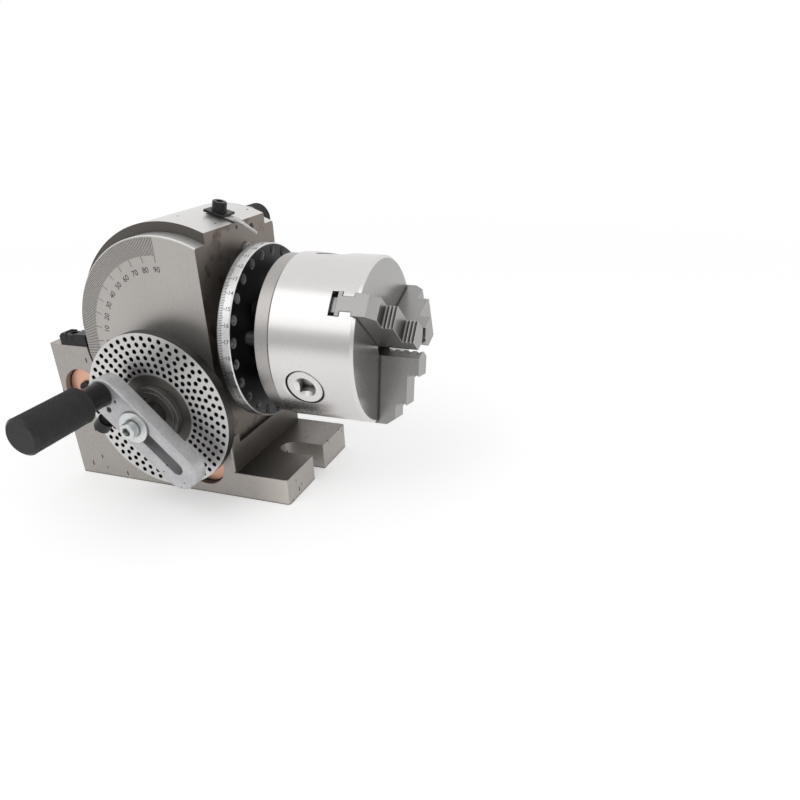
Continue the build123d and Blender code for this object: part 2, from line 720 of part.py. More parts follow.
def pinion_tip_radius():
    return pinion_pitch_radius + crown_addendum


def chuck_cover():
    rear = chuck_rear + register_depth + 0.2
    front = scroll_back - 2 * crown_addendum - 1.0
    body = rod_x(cavity_radius, rear, front) - rod_x(chuck_hub_radius, rear - 1, front + 1)
    for a in pinion_angles:
        body -= radial(rod_z(pinion_tip_radius() + 0.4, crown_inner - 0.3, chuck_radius), a, pinion_x)
        body -= radial(Pos(0, 0, crown_inner - 4) * Cylinder(4 + run_gap, 9), a, pinion_x)
    return body


def pinion(angle):
    """Bevel pinion drawn along +Z from the chuck axis: journal, teeth, neck and socketed head."""
    gear = tooth_outline(pinion_teeth, pinion_pitch_radius, crown_tooth_thick, crown_addendum, 1.3)
    half_step = 180 / pinion_teeth
    body = Pos(0, 0, crown_inner) * extrude(Rot(0, 0, half_step) * gear, crown_outer - crown_inner)
    body += Pos(0, 0, crown_inner - 2) * Cylinder(4, 4.2)
    body += Pos(0, 0, 39.8) * Cylinder(5, 3)
    head = Pos(0, 0, 44.9) * Cylinder(pinion_head_radius, 7.4)
    head = chamfer(head.edges().group_by(Axis.Z)[-1], 0.8)
    head -= Pos(0, 0, 42.0) * extrude(Rectangle(pinion_socket, pinion_socket), 9)
    head -= Pos(0, 0, 47.8) * Cone(pinion_socket / 2, pinion_socket / 2 + 3.0, 3.0)
    return radial(body + head, angle, pinion_x)


def spiral_point(r, turn):
    """A point of the scroll's spiral: the radius falls by one pitch a turn, so +X turns open the jaws."""
    start = jaw_angle - (rib_outer - 20.0) * 360 / scroll_pitch
    a = radians(start + 360 * turn)
    radius = r - scroll_pitch * turn
    return (radius * cos(a), radius * sin(a))


def spiral_edges(r):
    edges = []
    for k in range(rib_turns):
        edges.append(ThreePointArc(*[spiral_point(r, (k + s) / 6) for s in (0, 0.5, 1)]))
    return edges


def scroll():
    disc = Circle(scroll_radius) - Circle(chuck_hub_radius + slide_gap)
    body = spindle_plane(scroll_back) * extrude(disc, scroll_face - scroll_back)
    outer = spiral_edges(rib_outer + rib_thick / 2)
    inner = spiral_edges(rib_outer - rib_thick / 2)
    ends = [Line(spiral_point(rib_outer + rib_thick / 2, t), spiral_point(rib_outer - rib_thick / 2, t))
            for t in (0, rib_turns / 6)]
    rib = make_face(Wire(outer + inner + ends))
    body += spindle_plane(scroll_face) * extrude(rib, rib_height)
    lean = tan(radians(20))
    low = crown_tooth_thick / 2 + 1.5 * lean
    high = crown_tooth_thick / 2 - crown_addendum * lean
    depth = scroll_back - (pinion_x + pinion_pitch_radius) + crown_addendum
    section = make_face(Polyline([(-low, 0), (low, 0), (high, depth), (-high, depth)], close=True))
    tooth = extrude(section, crown_outer - crown_inner)
    # stand the tooth on the scroll's back with its length along +Y
    tooth = Plane(origin=(scroll_back, crown_inner, centre), x_dir=(0, 0, 1), z_dir=(0, 1, 0)).location * tooth
    for k in range(crown_teeth):
        body += around(tooth, pinion_angles[0] + 360 * (k + 0.5) / crown_teeth)
    return body


def jaw_side():
    """Side outline of a jaw above its neck: local X is the spindle radius, local Y is along +X."""
    tall = jaw_steps[0][1]
    outer = jaw_tip + jaw_length
    points = [(jaw_tip, jaw_neck_front), (outer, jaw_neck_front), (outer, jaw_steps[2][1] - 5.6)]
    points += [(outer - 4.0, jaw_steps[2][1])]
    for (r_in, front), (_, below) in ((jaw_steps[1], jaw_steps[2]), (jaw_steps[0], jaw_steps[1])):
        points.append((r_in, below))
        for k in range(3):
            mid = below + (front - below) * (k + 0.5) / 3
            points += [(r_in, mid - step_notch), (r_in - step_notch, mid), (r_in, mid + step_notch)]
        points.append((r_in, front))
    points.append((jaw_tip, tall))
    for k in range(4):
        mid = tall - 3.0 - 5.4 * k
        points += [(jaw_tip, mid + grip_notch), (jaw_tip + grip_notch, mid), (jaw_tip, mid - grip_notch)]
    return make_face(Polyline(points, close=True))


def jaw(number):
    """Jaw drawn along +Y at the spindle height, then turned to its slot."""
    outer = jaw_tip + jaw_length
    side = Plane(origin=(0, 0, centre), x_dir=(0, 1, 0), z_dir=(0, 0, -1))
    body = Location(side) * Pos(0, 0, -jaw_width / 2) * extrude(jaw_side(), jaw_width)
    foot = jaw_foot_width / 2
    neck = jaw_neck_width / 2
    body += block(jaw_foot_rear, jaw_foot_front, jaw_tip, outer, centre - foot, centre + foot)
    body += block(jaw_foot_rear, jaw_neck_front, jaw_tip, outer, centre - neck, centre + neck)
    body = body & tip_wedge()
    rib = 20.0 - scroll_pitch * number / 3 - scroll_pitch / 2
    strip = block(0, chuck_front, jaw_tip + 3.5, outer - 1, centre - jaw_tooth_width / 2, centre + jaw_tooth_width / 2)
    for n in range(-2, 6):
        r = rib + scroll_pitch * n
        if jaw_tip + 5 < r < outer - 1.5:
            ring = Circle(jaw_tooth_arc + jaw_tooth_thick / 2) - Circle(jaw_tooth_arc - jaw_tooth_thick / 2)
            depth = jaw_foot_rear - scroll_face
            tooth = spindle_plane(scroll_face + loose_gap) * Pos(r - jaw_tooth_arc, 0) * extrude(ring, depth)
            body += tooth & strip & block(0, chuck_front, r - 4, r + 4, 0, 2 * centre)
    return around(body, jaw_angles[number])


def tip_wedge():
    """Room a jaw may take up: its gripping end narrows to 120 degrees, so three jaws can meet."""
    flat = 1.3
    wide = 12.0
    reach = (wide - flat) / tan(radians(60))
    far = 2 * chuck_radius
    points = [(jaw_tip, -flat), (jaw_tip, flat), (jaw_tip + reach, wide), (far, wide), (far, -wide),
              (jaw_tip + reach, -wide)]
    return spindle_plane(cavity_front - 5) * extrude(make_face(Polyline(points, close=True)), 60)


def lock_pin():
    tip = direct_span[0] - 0.5
    body = rod_x(lock_pin_radius, 2, head_front + 3, lock_y, lock_z)
    end = rod_x(lock_tip_radius, head_front + 3, tip, lock_y, lock_z)
    body += chamfer(end.edges().filter_by(GeomType.CIRCLE).sort_by(Axis.X)[-1], 0.5)
    half = cam_pin_radius + slide_gap
    x, z = cam_pin_place()
    slot = block(x - half, x + half, lock_y - lock_pin_radius + 0.8, lock_y + 9, lock_knob_z - lock_throw
                 - cam_pin_radius - slide_gap, lock_z + 9)
    return body - slot


def cam_pin_place():
    a = radians(lock_start)
    return lock_knob_x - lock_throw * sin(a), lock_knob_z - lock_throw * cos(a)


def lock_shaft():
    near = lock_y + lock_pin_radius + 0.4
    body = rod_y(cam_radius, near, head_half + 0.6, lock_knob_x, lock_knob_z)
    x, z = cam_pin_place()
    return body + rod_y(cam_pin_radius, lock_y - 2.5, near, x, z)


def lock_knob():
    knob = rod_y(lock_knob_radius, head_half + 0.6, head_half + 0.6 + lock_knob_thick, lock_knob_x, lock_knob_z)
    return chamfer(knob.edges().filter_by(GeomType.CIRCLE), 0.8)


def pointer_seat(thick, below=0.0):
    z = drum_radius + below + 0.3
    plate = Pos(0, 0, z + thick / 2) * Box(pointer_washer, pointer_washer, thick)
    return plate - Pos(0, 0, z) * Cylinder(pointer_screw_radius + 0.1, 20)


def pointer():
    """Steel pointer: a strip under the washer, bent down over the head's front edge to the dial."""
    a = radians(90 - pointer_angle)
    seat = drum_radius + 0.3
    root_x = seat * sin(a)
    root_z = centre + seat * cos(a)
    bend = (root_x + 12 * cos(a), root_z - 12 * sin(a))
    half_root, half_tip = pointer_width / 2, 0.5
    top = [(root_x - 8 * cos(a), root_z + 8 * sin(a)), bend, (pointer_tip_x, pointer_tip_z)]
    lift = pointer_plate_thick
    upper = [(x + lift * sin(a), z + lift * cos(a)) for x, z in reversed(top)]
    side = make_face(Polyline(top + upper, close=True))
    body = Plane(origin=(0, 10, 0), x_dir=(1, 0, 0), z_dir=(0, -1, 0)).location * extrude(side, 20)
    plan = make_face(Polyline([(top[0][0] - 2, -half_root), (bend[0], -half_root), (pointer_tip_x + 1, -half_tip),
                               (pointer_tip_x + 1, half_tip), (bend[0], half_root), (top[0][0] - 2, half_root)],
                              close=True))
    body = body & (Pos(0, 0, centre) * extrude(plan, 2 * drum_radius))
    return body - on_pointer(Pos(0, 0, drum_radius) * Cylinder(pointer_screw_radius + 0.1, 20))


def pointer_plate():
    return on_pointer(pointer_seat(pointer_plate_thick, pointer_plate_thick + 0.05))


def pointer_screw():
    seat = drum_radius + 0.35 + 2 * pointer_plate_thick
    return on_pointer(Pos(0, 0, seat) * cap_screw(4.4, 5.5, pointer_screw_radius, 12, 4.0, 2.8))


def spindle_with_holes():
    body = spindle()
    for hole in index_flange_holes():
        body -= hole
    return body


nodes = {
    "base": base, "tie_washers": tie_washers, "tie_bolts": tie_bolts, "tie_nuts": tie_nuts,
    "clamp_blocks": clamp_blocks, "clamp_screws": clamp_screws,
    "head_casting": head_casting, "front_bush": front_bush, "rear_bush": rear_bush,
    "worm_housing": worm_housing, "tail_bush": tail_bush, "index_plate": index_plate,
    "index_screws": index_screws, "index_nut": index_nut,
    "pointer": pointer, "pointer_plate": pointer_plate, "pointer_screw": pointer_screw,
    "spindle": spindle_with_holes, "ring_nut": ring_nut, "worm_wheel": worm_wheel,
    "direct_plate": direct_plate, "direct_screws": direct_screws,
    "back_plate": back_plate, "chuck_bolts": chuck_bolts, "chuck_body": chuck_body, "chuck_cover": chuck_cover,
    "scroll": scroll,
    "worm_shaft": worm_shaft, "thrust_collar": thrust_collar, "crank_arm": crank_arm,
    "arm_washer": arm_washer, "arm_screw": arm_screw, "pinch_screw": pinch_screw,
    "plunger_sleeve": plunger_sleeve, "plunger_pin": plunger_pin, "plunger_knob": plunger_knob,
    "plunger_spring": plunger_spring,
    "lock_pin": lock_pin, "lock_shaft": lock_shaft, "lock_knob": lock_knob,
}

os.makedirs("parts", exist_ok=True)
for name, make in nodes.items():
    export_step(make(), f"parts/{name}.step")
for k in range(3):
    export_step(jaw(k), f"parts/jaw_{k + 1}.step")
    export_step(pinion(pinion_angles[k]), f"parts/pinion_{k + 1}.step")
print(len(nodes) + 6, "parts written")
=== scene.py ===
import json
import math

import bmesh
import bpy
from mathutils import Matrix, Vector


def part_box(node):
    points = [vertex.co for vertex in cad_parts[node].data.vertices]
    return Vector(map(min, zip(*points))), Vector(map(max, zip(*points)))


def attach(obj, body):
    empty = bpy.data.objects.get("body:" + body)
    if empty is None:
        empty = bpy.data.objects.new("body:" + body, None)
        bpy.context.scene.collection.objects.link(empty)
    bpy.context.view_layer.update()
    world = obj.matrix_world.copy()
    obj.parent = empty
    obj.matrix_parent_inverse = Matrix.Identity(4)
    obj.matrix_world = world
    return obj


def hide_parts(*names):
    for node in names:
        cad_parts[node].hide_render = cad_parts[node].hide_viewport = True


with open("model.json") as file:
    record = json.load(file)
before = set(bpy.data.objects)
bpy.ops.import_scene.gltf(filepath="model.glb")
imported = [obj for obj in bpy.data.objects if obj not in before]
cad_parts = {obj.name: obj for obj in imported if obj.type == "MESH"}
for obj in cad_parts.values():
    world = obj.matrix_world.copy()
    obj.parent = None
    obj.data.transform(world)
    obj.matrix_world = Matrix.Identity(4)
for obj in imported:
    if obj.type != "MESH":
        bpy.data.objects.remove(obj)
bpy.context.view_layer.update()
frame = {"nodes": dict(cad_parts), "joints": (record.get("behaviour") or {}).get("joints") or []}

nodes = frame["nodes"]
scene = bpy.context.scene
scene.view_settings.view_transform = "Standard"

# Places on the frame, in metres
jointPlaces = {joint["name"]: joint["pos_m"] for joint in frame["joints"] if "pos_m" in joint}
spindleHeight = jointPlaces["spindle_turn"][2]
wormX, wormHeight = jointPlaces["crank_turn"][0], jointPlaces["crank_turn"][2]
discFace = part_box("head_casting")[0].y
plateFront, plateBack = (corner.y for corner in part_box("index_plate"))
faceDepth = 0.0001  # a point this near a flat face still counts as on it


# Building blocks of node trees, where a value is a number, a colour or another node's socket
def connect(tree, value, socket):
    if isinstance(value, bpy.types.NodeSocket):
        tree.links.new(value, socket)
    elif value is not None:
        socket.default_value = value


def addNode(tree, kind, values=None, **settings):
    node = tree.nodes.new(kind)
    for key, value in settings.items():
        setattr(node, key, value)
    for label, value in (values or {}).items():
        connect(tree, value, node.inputs[label])
    return node.outputs


# For nodes whose inputs share a name: the values go in by order
def addOrdered(tree, kind, values, **settings):
    node = tree.nodes.new(kind)
    for key, value in settings.items():
        setattr(node, key, value)
    for value, socket in zip(values, node.inputs):
        connect(tree, value, socket)
    return node.outputs


def addMath(tree, operation, a, b=None, c=None):
    return addOrdered(tree, "ShaderNodeMath", (a, b, c), operation=operation)[0]


def addProduct(tree, product, *factors):
    for factor in factors:
        product = addMath(tree, "MULTIPLY", product, factor)
    return product


def addLength(tree, a, b):
    squares = addMath(tree, "ADD", addMath(tree, "MULTIPLY", a, a), addMath(tree, "MULTIPLY", b, b))
    return addMath(tree, "SQRT", squares)


# Angle of the point (across, height) about the origin, from -0.5 to 0.5 of a full turn
def addTurn(tree, height, across):
    return addMath(tree, "DIVIDE", addMath(tree, "ARCTAN2", height, across), 2 * math.pi)


def addRange(tree, value, low, high, toLow=0.0, toHigh=1.0):
    return addOrdered(tree, "ShaderNodeMapRange", (value, low, high, toLow, toHigh))[0]


def addNoise(tree, vector, scale, detail):
    return addNode(tree, "ShaderNodeTexNoise", {"Vector": vector, "Scale": scale, "Detail": detail})["Fac"]


def addMixed(tree, factor, a, b):
    a, b = ((*colour, 1) if isinstance(colour, tuple) else colour for colour in (a, b))
    return addNode(tree, "ShaderNodeMix", {"Factor": factor, "A": a, "B": b}, data_type="RGBA")["Result"]


def addShaderMix(tree, factor, a, b):
    return addOrdered(tree, "ShaderNodeMixShader", (factor, a, b))[0]


def addAxes(tree, vector):
    return addNode(tree, "ShaderNodeSeparateXYZ", {"Vector": vector})


def newGroup(name, kind, inputs, outputs):
    group = bpy.data.node_groups.new(name, kind)
    for label, form, value in inputs:
        socket = group.interface.new_socket(label, in_out="INPUT", socket_type=form)
        if value is not None:
            socket.default_value = value
    for label, form in outputs:
        group.interface.new_socket(label, in_out="OUTPUT", socket_type=form)
    return group, group.nodes.new("NodeGroupInput").outputs, group.nodes.new("NodeGroupOutput").inputs


def newMaterial(name):
    material = bpy.data.materials.new(name)
    material.use_nodes = True
    material.node_tree.nodes.clear()
    return material, material.node_tree


# Camera matched to the photo
cameraValues = {
    "place": (0.2824, -0.4051, 0.2419), "azimuth": 20.892, "elevation": 30.264, "roll": -1.906,
    "lens": 33.02, "sensor": 36, "shiftX": 0.0018, "shiftY": 0.1245, "clipStart": 0.01,
}


def makeCamera(values):
    a, e, r = (math.radians(values[k]) for k in ("azimuth", "elevation", "roll"))
    back = Vector((math.sin(a) * math.cos(e), -math.cos(a) * math.cos(e), math.sin(e)))
    level = Vector((math.cos(a), math.sin(a), 0))
    upright = back.cross(level)
    right = level * math.cos(r) + upright * math.sin(r)
    up = upright * math.cos(r) - level * math.sin(r)
    data = bpy.data.cameras.new("camera")
    data.lens, data.sensor_width = values["lens"], values["sensor"]
    data.shift_x, data.shift_y = values["shiftX"], values["shiftY"]
    data.clip_start = values["clipStart"]
    camera = bpy.data.objects.new("camera", data)
    axes = Matrix((right, up, back)).transposed().to_4x4()
    camera.matrix_world = Matrix.Translation(values["place"]) @ axes
    scene.collection.objects.link(camera)
    scene.camera = camera


# Soft room light with two square lamps
lightValues = {
    "worldColour": (1.0, 1.0, 1.0), "worldStrength": 0.62,
    "roomDark": 0.52, "roomHigh": 0.8, "roomTop": 0.75, "nearFrom": -0.1, "nearTo": 0.45,
    "aim": (0.02, 0, 0.08),
    "keyPlace": (-0.35, -0.75, 0.95), "keySize": 1.0, "keyPower": 2.6,
    "sidePlace": (0.9, -0.1, 0.55), "sideSize": 0.5, "sidePower": 0.9,
}


def makeLamp(name, place, aim, size, power):
    data = bpy.data.lights.new(name, "AREA")
    data.shape, data.size, data.energy = "SQUARE", size, power
    lamp = bpy.data.objects.new(name, data)
    direction = Vector(aim) - Vector(place)
    lamp.matrix_world = Matrix.Translation(place) @ direction.to_track_quat("-Z", "Y").to_matrix().to_4x4()
    scene.collection.objects.link(lamp)


# 1 for the rays that show the background: seen directly, in a reflection or through glass
def addSeenRay(tree):
    path = addNode(tree, "ShaderNodeLightPath")
    direct = addMath(tree, "MAXIMUM", path["Is Camera Ray"], path["Is Transmission Ray"])
    return addMath(tree, "MAXIMUM", direct, path["Is Glossy Ray"])


# Colour of the room by direction: white where it is seen directly, and in reflections dimmer low down
# on the side that the photo was taken from
def addRoom(tree, values):
    axes = addAxes(tree, addNode(tree, "ShaderNodeTexCoord")["Generated"])
    turn = math.radians(cameraValues["azimuth"])
    towards = addMath(tree, "SUBTRACT", addMath(tree, "MULTIPLY", axes["X"], math.sin(turn)),
                      addMath(tree, "MULTIPLY", axes["Y"], math.cos(turn)))
    near = addRange(tree, towards, values["nearFrom"], values["nearTo"])
    height = addRange(tree, axes["Z"], 0.0, values["roomTop"], values["roomDark"], values["roomHigh"])
    level = addMath(tree, "MULTIPLY_ADD", near, addMath(tree, "SUBTRACT", height, 1.0), 1.0)
    level = addMath(tree, "MAXIMUM", level, addNode(tree, "ShaderNodeLightPath")["Is Camera Ray"])
    return addOrdered(tree, "ShaderNodeCombineColor", (level, level, level))[0]


def makeStudio(values):
    world = bpy.data.worlds.new("studio")
    scene.world = world
    world.use_nodes = True
    tree = world.node_tree
    tree.nodes.clear()
    dim = addNode(tree, "ShaderNodeBackground", {
        "Color": (*values["worldColour"], 1), "Strength": values["worldStrength"]})["Background"]
    room = addNode(tree, "ShaderNodeBackground", {"Color": addRoom(tree, values)})["Background"]
    addNode(tree, "ShaderNodeOutputWorld", {"Surface": addShaderMix(tree, addSeenRay(tree), dim, room)})
    for lamp in ("key", "side"):
        place, size, power = (values[lamp + part] for part in ("Place", "Size", "Power"))
        makeLamp(lamp + "Lamp", place, values["aim"], size, power)


# Pale floor, a little lifted where it is seen, which fades into the white background further out
floorValues = {"colour": (0.93, 0.93, 0.93), "roughness": 0.9, "specular": 0.1, "lift": 0.35, "halfWidth": 4,
               "fadeFrom": 0.45, "fadeTo": 1.1}


def makeFloorMaterial(values):
    material, tree = newMaterial("floor")
    plain = addNode(tree, "ShaderNodeBsdfPrincipled", {
        "Base Color": (*values["colour"], 1), "Roughness": values["roughness"],
        "Specular IOR Level": values["specular"]})["BSDF"]
    glow = addNode(tree, "ShaderNodeEmission", {"Strength": values["lift"]})["Emission"]
    lifted = addOrdered(tree, "ShaderNodeAddShader", (plain, glow))[0]
    white = addNode(tree, "ShaderNodeEmission")["Emission"]
    axes = addAxes(tree, addNode(tree, "ShaderNodeTexCoord")["Object"])
    fade = addRange(tree, addLength(tree, axes["X"], axes["Y"]), values["fadeFrom"], values["fadeTo"])
    seen = addShaderMix(tree, fade, lifted, white)
    addNode(tree, "ShaderNodeOutputMaterial", {"Surface": addShaderMix(tree, addSeenRay(tree), plain, seen)})
    return material


def makeFloor(values):
    half = values["halfWidth"]
    corners = [(-half, -half, 0), (half, -half, 0), (half, half, 0), (-half, half, 0)]
    mesh = bpy.data.meshes.new("floor")
    mesh.from_pydata(corners, [], [(0, 1, 2, 3)])
    mesh.materials.append(makeFloorMaterial(values))
    floor = bpy.data.objects.new("floor", mesh)
    scene.collection.objects.link(floor)


# What the worked metals share; each gives its own values over these
metalDefaults = {
    "darker": 0.75, "metallic": 1.0, "roughness": 0.35, "roughSpread": 0.12, "grain": 900.0, "cloud": 25.0,
    # The pit colour also colours the painted shade in seams; the seam values set that painted shade, and the
    # wear values set worn edges with a painted highlight
    "stretch": (1, 1, 1), "pitScale": 260.0, "pitShare": 0.0, "pitColour": (0.05, 0.045, 0.04), "bump": 0.1,
    "edge": 0.0004, "seam": 0.85, "seamReach": 0.0015, "wear": 0.0, "wornColour": (0.85, 0.84, 0.83),
    "toneFrom": 0.35, "toneTo": 0.65, "roughFrom": 0.3, "roughTo": 0.7,
    "dirtRoughness": 0.3, "dirtDullness": 0.7,
}

# Which of these values go into the shared surface group, by the names of its inputs
metalInputs = {
    "Grain Scale": "grain", "Cloud Scale": "cloud", "Pit Scale": "pitScale", "Pit Share": "pitShare",
    "Bump": "bump", "Edge Radius": "edge", "Seam Reach": "seamReach",
}

# How the metal surface mixes its noise, and where the painted shade in its seams and recesses and its worn,
# highlighted edges start and end
surfaceValues = {
    "cloudShare": 0.55, "cloudDetail": 3.0, "grainShare": 0.45, "grainDetail": 2.0, "grainHeight": 0.4,
    "pitSmall": 0.08, "pitLarge": 0.3, "bumpDepth": 0.00012, "seamOpen": 0.92, "seamShut": 0.5,
    "seamSamples": 8, "wearFlat": 0.985, "wearSharp": 0.85, "edgeSamples": 4,
}


# Cloudy tone, fine grain, pits, painted shade in seams and recesses, and worn edges with a painted highlight,
# of a metal
def makeMetalGroup(values):
    group, given, result = newGroup(
        "metalSurface", "ShaderNodeTree",
        [("Vector", "NodeSocketVector", None)]
        + [(label, "NodeSocketFloat", metalDefaults[key]) for label, key in metalInputs.items()],
        [("Tone", "NodeSocketFloat"), ("Pits", "NodeSocketFloat"), ("Seam", "NodeSocketFloat"),
         ("Wear", "NodeSocketFloat"), ("Normal", "NodeSocketVector")])
    cloud = addNoise(group, given["Vector"], given["Cloud Scale"], values["cloudDetail"])
    grain = addNoise(group, given["Vector"], given["Grain Scale"], values["grainDetail"])
    spots = addNode(group, "ShaderNodeTexVoronoi", {"Vector": given["Vector"], "Scale": given["Pit Scale"]})
    draw = addNode(group, "ShaderNodeSeparateColor", {"Color": spots["Color"]})
    chosen = addMath(group, "LESS_THAN", draw["Red"], given["Pit Share"])
    size = addRange(group, draw["Green"], 0.0, 1.0, values["pitSmall"], values["pitLarge"])
    pits = addProduct(group, chosen, addMath(group, "LESS_THAN", spots["Distance"], size))
    # Painted shade: ambient occlusion darkens seams, creases, recesses and the gaps between parts
    openness = addNode(group, "ShaderNodeAmbientOcclusion", {"Distance": given["Seam Reach"]},
                       samples=values["seamSamples"])["AO"]
    rounded = addNode(group, "ShaderNodeBevel", {"Radius": given["Edge Radius"]},
                      samples=values["edgeSamples"])["Normal"]
    plain = addNode(group, "ShaderNodeNewGeometry")["Normal"]
    flat = addOrdered(group, "ShaderNodeVectorMath", (rounded, plain), operation="DOT_PRODUCT")["Value"]
    height = addMath(group, "SUBTRACT", addMath(group, "MULTIPLY", grain, values["grainHeight"]), pits)
    bump = addNode(group, "ShaderNodeBump", {
        "Strength": given["Bump"], "Distance": values["bumpDepth"], "Height": height, "Normal": rounded})
    connect(group, addMath(group, "MULTIPLY_ADD", grain, values["grainShare"],
                           addMath(group, "MULTIPLY", cloud, values["cloudShare"])), result["Tone"])
    connect(group, pits, result["Pits"])
    connect(group, addRange(group, openness, values["seamOpen"], values["seamShut"]), result["Seam"])
    # Sharp edges: partly worn bright metal, partly a painted highlight
    connect(group, addRange(group, flat, values["wearFlat"], values["wearSharp"]), result["Wear"])
    connect(group, bump["Normal"], result["Normal"])
    return group


# Engraved lines round an axis: 1 on a line, 0 elsewhere. Turn grows by 1 over a full circle.
def makeScaleGroup():
    group, given, result = newGroup(
        "scaleLines", "ShaderNodeTree",
        [("Turn", "NodeSocketFloat", 0.0), ("Along", "NodeSocketFloat", 0.0),
         ("Radius", "NodeSocketFloat", 0.05), ("Lines", "NodeSocketFloat", 360.0),
         ("Width", "NodeSocketFloat", 0.0002), ("Start", "NodeSocketFloat", 0.0),
         ("End", "NodeSocketFloat", 1.0)],
        [("Mask", "NodeSocketFloat")])
    steps = addMath(group, "MULTIPLY", given["Turn"], given["Lines"])
    away = addMath(group, "ABSOLUTE", addMath(group, "SUBTRACT", steps, addMath(group, "ROUND", steps)))
    circle = addMath(group, "MULTIPLY", given["Radius"], 2 * math.pi)
    distance = addMath(group, "MULTIPLY", away, addMath(group, "DIVIDE", circle, given["Lines"]))
    near = addMath(group, "LESS_THAN", distance, addMath(group, "MULTIPLY", given["Width"], 0.5))
    after = addMath(group, "GREATER_THAN", given["Along"], given["Start"])
    before = addMath(group, "LESS_THAN", given["Along"], given["End"])
    connect(group, addProduct(group, near, after, before), result["Mask"])
    return group


# A worked metal. marks gives a mask of dark engraving, and colourOf changes the ground shade by place.
def makeMetal(name, colour, marks=None, colourOf=None, **own):
    values = {**metalDefaults, **own}
    material, tree = newMaterial(name)
    coordinates = addNode(tree, "ShaderNodeTexCoord")["Object"]
    vector = addOrdered(tree, "ShaderNodeVectorMath", (coordinates, values["stretch"]),
                        operation="MULTIPLY")["Vector"]
    made = addNode(tree, "ShaderNodeGroup", {
        "Vector": vector, **{label: values[key] for label, key in metalInputs.items()}}, node_tree=metalGroup)
    dark = tuple(part * values["darker"] for part in colour)
    shade = addMixed(tree, addRange(tree, made["Tone"], values["toneFrom"], values["toneTo"]), dark, colour)
    if colourOf:
        shade = colourOf(tree, coordinates, shade)
    # Edges lightened: partly real wear, partly a painted highlight
    if values["wear"]:
        worn = addMath(tree, "MULTIPLY", made["Wear"], values["wear"])
        shade = addMixed(tree, worn, shade, values["wornColour"])
    # Pits and engraving are dark marks on the metal; the seam mask adds painted shade in seams, recesses and
    # between parts
    dirt = addMath(tree, "MAXIMUM", made["Pits"], addMath(tree, "MULTIPLY", made["Seam"], values["seam"]))
    if marks:
        dirt = addMath(tree, "MAXIMUM", dirt, marks(tree, coordinates))
    metallic, rough = values["metallic"], values["roughness"]
    ground = addRange(tree, made["Tone"], values["roughFrom"], values["roughTo"],
                      rough, rough + values["roughSpread"])
    surface = addNode(tree, "ShaderNodeBsdfPrincipled", {
        "Base Color": addMixed(tree, dirt, shade, values["pitColour"]),
        "Roughness": addMath(tree, "MULTIPLY_ADD", dirt, values["dirtRoughness"], ground),
        "Metallic": addMath(tree, "MULTIPLY_ADD", dirt, -values["dirtDullness"] * metallic, metallic),
        "Normal": made["Normal"]})
    addNode(tree, "ShaderNodeOutputMaterial", {"Surface": surface["BSDF"]})
    return material


# Places round the spindle's axis and the head's tilt axis, which are at one height
def addSpindleHeight(tree, axes):
    return addMath(tree, "SUBTRACT", axes["Z"], spindleHeight)


def addSpindleTurn(tree, axes):
    return addTurn(tree, addSpindleHeight(tree, axes), axes["Y"])


def addSpindleRadius(tree, axes):
    return addLength(tree, axes["Y"], addSpindleHeight(tree, axes))


def addTiltRadius(tree, axes):
    return addLength(tree, axes["X"], addSpindleHeight(tree, axes))


def addLines(tree, values):
    return addNode(tree, "ShaderNodeGroup", values, node_tree=scaleGroup)["Mask"]


# Degree lines on the near disc, counted upwards from its rearmost point
tiltScale = {"radius": 0.06, "fineFrom": 0.0545, "tenFrom": 0.0505, "outer": 0.0647, "width": 0.00042,
             "firstDegree": -12.5, "lastDegree": 90.4}


def tiltMarks(tree, coordinates):
    axes = addAxes(tree, coordinates)
    turn = addTurn(tree, addSpindleHeight(tree, axes), addMath(tree, "MULTIPLY", axes["X"], -1.0))
    values = {"Turn": turn, "Along": addTiltRadius(tree, axes), "Radius": tiltScale["radius"],
              "Width": tiltScale["width"], "End": tiltScale["outer"]}
    fine = addLines(tree, {**values, "Lines": 360.0, "Start": tiltScale["fineFrom"]})
    tens = addLines(tree, {**values, "Lines": 36.0, "Start": tiltScale["tenFrom"]})
    after = addMath(tree, "GREATER_THAN", turn, tiltScale["firstDegree"] / 360)
    before = addMath(tree, "LESS_THAN", turn, tiltScale["lastDegree"] / 360)
    onFace = addMath(tree, "LESS_THAN", axes["Y"], discFace + faceDepth)
    return addProduct(tree, addMath(tree, "MAXIMUM", fine, tens), onFace, after, before)


# Direct plate: black faces, bright rim and hole mouths, painted shade deeper in the holes, and a grey band of
# painted shade for the rim's rear bevel. Each row is a number of lines and how long they are.
# The edge colour is painted shade for the rim's rear bevel; the face colour is the black face and also
# painted shade deep in the holes
dialValues = {"edge": 0.0013, "chamfer": 0.0007, "wallRadius": 0.0530, "mouthFrom": 0.0022, "mouthTo": 0.0050,
              "edgeColour": (0.30, 0.29, 0.28), "wallColour": (0.95, 0.95, 0.95),
              "faceColour": (0.040, 0.039, 0.041)}
rimScale = {"width": 0.00040, "rows": [(360, 0.0022), (72, 0.0028), (36, 0.0036)], "rimDepth": 0.0002}
dialRear, dialFront = (corner.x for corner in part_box("direct_plate"))
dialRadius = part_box("direct_plate")[1].y
dialEdge = dialRear + dialValues["edge"]


def rimMarks(tree, coordinates):
    axes = addAxes(tree, coordinates)
    turn = addSpindleTurn(tree, axes)
    lines = 0.0
    for count, length in rimScale["rows"]:
        row = addLines(tree, {
            "Turn": turn, "Along": axes["X"], "Radius": dialRadius, "Width": rimScale["width"],
            "Lines": float(count), "Start": dialEdge, "End": dialEdge + length})
        lines = addMath(tree, "MAXIMUM", lines, row)
    onRim = addMath(tree, "GREATER_THAN", addSpindleRadius(tree, axes), dialRadius - rimScale["rimDepth"])
    return addProduct(tree, lines, onRim)


